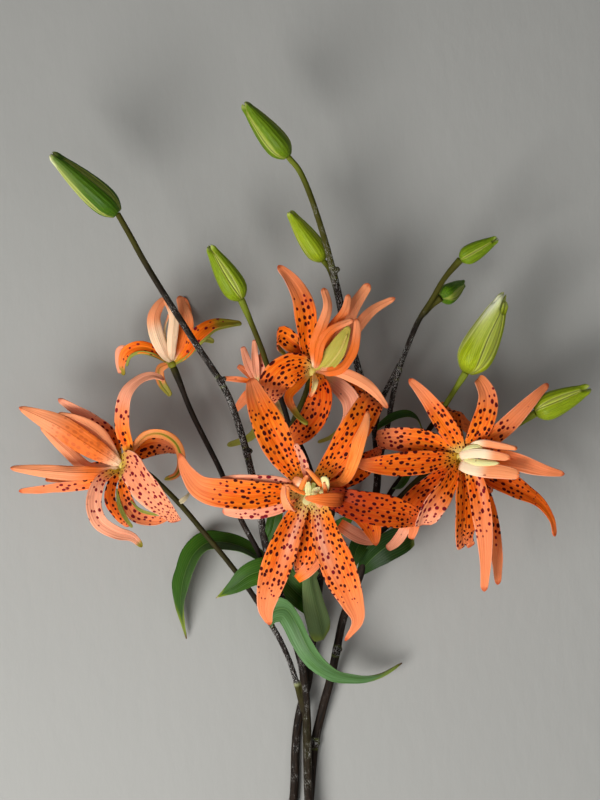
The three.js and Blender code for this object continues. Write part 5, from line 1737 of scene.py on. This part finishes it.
STEMS = [
    Stem(
        "stem_left",
        [
            Shoot([(16, -214, LYING), (13, -192, 4.2), (8, -170, 7.4), (4.6, -152, 8.6), (3.2, -134, 8.5),
                (2.8, -114, 8.6), (2.4, -96, 9), (1.4, -79, 10), (-0.8, -66, 12), (-4.5, -53, 15.5),
                (-9.5, -38, 20), (-15.5, -19, 26), (-18.5, -7, 30), (-21, 8, 33), (-24.5, 25, 35.5),
                (-28, 40, 37), (-34.5, 61, 39), (-41, 75, 41), (-56, 98, 44), (-76, 130, 48),
                (-86, 148, 50), (-92, 158.5, 51)], green=((0, 0.1), (0.15, 0.15), (0.27, 0.38),
                (0.3, 0.35), (0.35, 0), (0.8, 0), (0.9, 0.3), (1, 0.8)),
                lime=((0, 0), (0.95, 0), (1, 0.15)),
                wool=((0, 0.6), (0.3, 0.45), (0.5, 0.7), (0.7, 0.85), (0.85, 0.6), (0.94, 0.2), (1, 0)),
                main=True),
            Shoot([(1.6, -93, 9), (-0.8, -86, 9.6), (-2.6, -79, 11), (-4.8, -71.5, 12), (-7.6, -64, 13.4),
                (-11.5, -55.5, 15), (-17, -46, 17), (-26, -31.5, 20), (-36, -18, 23), (-49, -2, 26),
                (-62, 13.5, 29), (-74, 25.5, 33), (-80, 29.5, 36), (-86, 32, 38.6)],
                green=((0, 0.3), (0.09, 0.55), (0.1, 0), (0.35, 0.1), (0.5, 0.4), (1, 0.55)),
                wool=((0, 0), (0.09, 0), (0.1, 1), (0.3, 0.7), (0.45, 0.1), (1, 0))),
            Shoot([(-9.5, -40.5, 18.5), (-12.5, -32, 18), (-17, -22, 19.5), (-23, -9.5, 21.5),
                (-31, 5.5, 23), (-42, 31.5, 24.5), (-55, 57.5, 25.5), (-62, 75, 26), (-65, 82, 26)],
                green=((0, 0), (0.9, 0.1), (1, 0.5)), wool=((0, 0.5), (0.6, 0.3), (0.9, 0.1), (1, 0))),
        ],
        [((-27.6, 39, 37.2), (1, 0.6, 0.4)), ((-40.6, 75, 41), (0.8, 0.6, 0.3)),
            ((-16.5, -46.6, 17), (0.7, -0.2, 0.8))], [(-2.6, -79, 11)],
    ),
    Stem(
        "stem_middle",
        [
            Shoot([(-17, -212, LYING), (-13, -190, LYING), (-9, -170, LYING), (-6, -150, LYING),
                (-4, -134, LYING), (-3, -108, LYING), (-0.7, -92, 2.9), (3, -79, 4.8), (4.5, -64, 7),
                (7, -44, 9), (9.5, -24, 11), (12.5, -4, 13), (16.5, 15.5, 16), (20, 33, 18),
                (22.5, 50, 20), (22.5, 65, 22), (22, 80, 24), (21.5, 93, 26), (19.5, 110, 29),
                (16.5, 124, 32), (13.5, 132, 35.5), (10.5, 135.5, 38)],
                green=((0, 0.1), (0.9, 0.1), (1, 1)), lime=((0, 0), (0.97, 0.1), (1, 0.6)),
                wool=((0, 0.45), (0.6, 0.4), (0.85, 0.8), (0.96, 0.8), (1, 0)), main=True),
            Shoot([(9.5, -24, 11), (8.5, -12, 22), (6, 4, 38), (4, 15, 50), (3.5, 19.5, 56.5)],
                green=((0, 0.2), (1, 1))),
            Shoot([(12.5, -4, 13), (10.5, 12, 17), (5, 28, 21), (1.5, 37.5, 24), (-2.5, 45.5, 25),
                (-6, 51.5, 26), (-10, 64.5, 29), (-17, 81.5, 33), (-20, 90.5, 36), (-25, 103, 40),
                (-30.5, 116, 44)], green=((0, 0), (0.55, 0.1), (0.8, 0.9), (1, 1)),
                lime=((0, 0), (0.8, 0), (0.92, 0.5), (1, 0.8)), wool=((0, 0.2), (0.6, 0.1), (1, 0))),
            Shoot([(-5.5, 50.5, 26), (-3.5, 57, 31), (-0.5, 63, 36), (2.2, 70, 40), (4, 77, 43.5)],
                green=((0, 0.4), (1, 1)), wool=((0, 0.1), (1, 0))),
            Shoot([(-1.5, 43.5, 24.5), (-8, 52, 21.5), (-15, 62, 20), (-20, 70, 21)],
                green=((0, 0.3), (1, 1))),
        ],
    ),
    Stem(
        "stem_right",
        [
            Shoot([(-5, -208, LYING), (-2, -190, LYING), (0.5, -170, LYING), (2.5, -152, LYING),
                (4.2, -134, LYING), (5.2, -122, LYING), (7, -107, 2.9), (10.5, -92, 4.3), (14.5, -77, 6.5),
                (18, -60, 9.5), (21, -45.5, 12), (25, -34.5, 14.5), (29, -24.5, 17), (32.5, -12, 19),
                (35.5, 5.5, 21), (38, 23, 23), (38, 35, 25), (37, 48, 28), (35, 61.5, 31), (30, 75.5, 33),
                (25, 93, 35), (20.5, 109.5, 37), (17.5, 123, 39), (15.5, 130.5, 40), (11.5, 145.5, 42),
                (5, 165.5, 45), (-1, 179.5, 47), (-7, 187, 49)],
                green=((0, 0.1), (0.5, 0.2), (0.7, 0), (0.82, 0.1), (0.86, 0.7), (1, 1)),
                lime=((0, 0), (0.8, 0), (0.9, 0.12), (1, 0.6)),
                wool=((0, 0.3), (0.35, 0.2), (0.6, 0.45), (0.8, 0.95), (0.9, 0.7), (0.97, 0.1), (1, 0)),
                main=True),
            Shoot([(38, 31, 24), (40.5, 40.5, 25), (43, 51.5, 27), (44.5, 60.5, 28), (47.5, 75.5, 30),
                (51, 87, 32), (58.5, 105, 34), (65, 115.5, 36), (71.5, 126.5, 38), (79.5, 136, 40)],
                green=((0, 0), (0.6, 0.1), (0.8, 0.8), (1, 1)), lime=((0, 0), (0.9, 0), (1, 0.4)),
                wool=((0, 0.7), (0.5, 0.95), (0.7, 0.4), (0.8, 0), (1, 0))),
            Shoot([(38, 29, 23.5), (37.5, 49.5, 21.5), (38.5, 59.5, 21.5), (41.5, 68, 21.5),
                (46, 77, 22.5), (51, 87, 24.5), (58.5, 105, 28.5), (62.5, 110, 30.5), (65.5, 113.5, 32),
                (70, 117, 33.5)], green=((0, 0), (0.8, 0.2), (1, 0.9)),
                wool=((0, 0.7), (0.6, 0.9), (0.9, 0.3), (1, 0))),
            Shoot([(35, 0, 20.5), (45, 19, 22), (52, 29, 24), (62.5, 48, 28), (69, 58, 33), (75, 68, 40),
                (82, 79.5, 46)], green=((0, 0), (0.55, 0.1), (0.75, 0.9), (1, 1)),
                lime=((0, 0), (0.7, 0.1), (0.9, 0.8), (1, 1)), wool=((0, 0.4), (0.4, 0.1), (1, 0))),
            Shoot([(35.5, 4, 21), (47, 14, 25), (58, 25, 29), (68, 32.5, 34), (74.5, 36, 39),
                (78, 37, 43)], green=((0, 0.1), (1, 1))),
            Shoot([(33, -9, 19.5), (42, 0.5, 20), (64, 18, 23), (84, 33, 28), (104, 50, 36),
                (117, 59, 42)], green=((0, 0.1), (0.5, 0.6), (1, 1)), lime=((0, 0), (0.7, 0.3), (1, 0.9)),
                wool=((0, 0.3), (0.5, 0), (1, 0))),
        ],
        [((17.6, -62, 9.3), (1, 0.4, 0.4)), ((6.4, -110, 2.9), (1, 0.2, 0.6)),
            ((16.2, 130, 40), (1, 0.6, 0.3)), ((47.5, 79, 30.6), (1, 0.5, 0.2))],
    ),
]


@dataclass(frozen=True)
class Studio:
    """The pale floor, the soft lights and the camera that looks straight down on the bunch."""

    floor_size: float = 6.0
    floor_tone: Colour = tint("aaa9a4")
    camera_at: Point = (-0.001, 0.0655, 2.0)
    sensor: float = 36.0
    view_height: float = 0.4
    view_level: float = 0.045
    lamps: Sequence[tuple[str, Point, float, float]] = (
        ("key", (-0.52, -0.46, 0.78), 0.6, 10.5),
        ("fill", (0.9, -0.5, 1.3), 1.4, 4.0),
        ("top", (-0.5, -0.45, 1.5), 1.2, 5.0),
    )
    aim: Point = (0, 0.05, 0.03)
    air: Colour = tint("dfe3e8")
    air_strength: float = 0.12

    def floor(self) -> None:
        """Lays the floor."""
        half = self.floor_size / 2
        corners = [(-half, -half, 0), (half, -half, 0), (half, half, 0), (-half, half, 0)]
        mesh = bpy.data.meshes.new("floor")
        mesh.from_pydata(corners, [], [(0, 1, 2, 3)])
        s = Shader("floor_paint", Specular_IOR_Level=0.2)
        where = s.add("TexCoord", None, None, "Object")
        cloud = s.noise(where, (9.0, 9.0, 9.0), 3.0)
        brush = s.noise(where, (140.0, 60.0, 1.0), 3.0)
        shade = s.mix(cloud, tuple(0.95 * part for part in self.floor_tone), self.floor_tone)
        mesh.materials.append(s.finish(shade, 0.85, brush, 0.35))
        floor = add_object("floor", mesh)

    def lights(self) -> None:
        """Hangs the lights and sets the air."""
        for name, at, size, power in self.lamps:
            data = bpy.data.lights.new(name, "AREA")
            data.shape = "DISK"
            data.size = size
            data.energy = power
            lamp = add_object(name, data)
            lamp.location = at
            lamp.rotation_euler = (Vector(self.aim) - Vector(at)).to_track_quat("-Z", "Y").to_euler()
        world = bpy.data.worlds.new("air")
        world.use_nodes = True
        sky = world.node_tree.nodes["Background"].inputs
        sky["Color"].default_value = self.air
        sky["Strength"].default_value = self.air_strength
        bpy.context.scene.world = world
        bpy.context.scene.view_settings.view_transform = "Standard"

    def camera(self) -> None:
        """Sets the camera where the photograph was taken from, with the cut ends at the bottom."""
        data = bpy.data.cameras.new("camera")
        data.sensor_fit = "VERTICAL"
        data.sensor_height = self.sensor
        data.lens = self.sensor * (self.camera_at[2] - self.view_level) / self.view_height
        camera = add_object("camera", data)
        camera.location = self.camera_at
        bpy.context.scene.camera = camera

    def build(self) -> None:
        """Sets the stage."""
        self.floor()
        self.lights()
        self.camera()


def main() -> None:
    """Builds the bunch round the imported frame."""
    logging.basicConfig(level=logging.INFO, format="%(message)s")
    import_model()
    Studio().build()
    finishes = Finishes.make()
    for bloom in (FRONT_BLOOM, LEFT_BLOOM, RIGHT_BLOOM, UPPER_BLOOM, BACK_BLOOM, REAR_BLOOM):
        bloom.build(finishes)
    for part in (*BUDS, *LEAVES, *STEMS):
        part.build(finishes)
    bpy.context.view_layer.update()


if __name__ == "__main__":
    main()
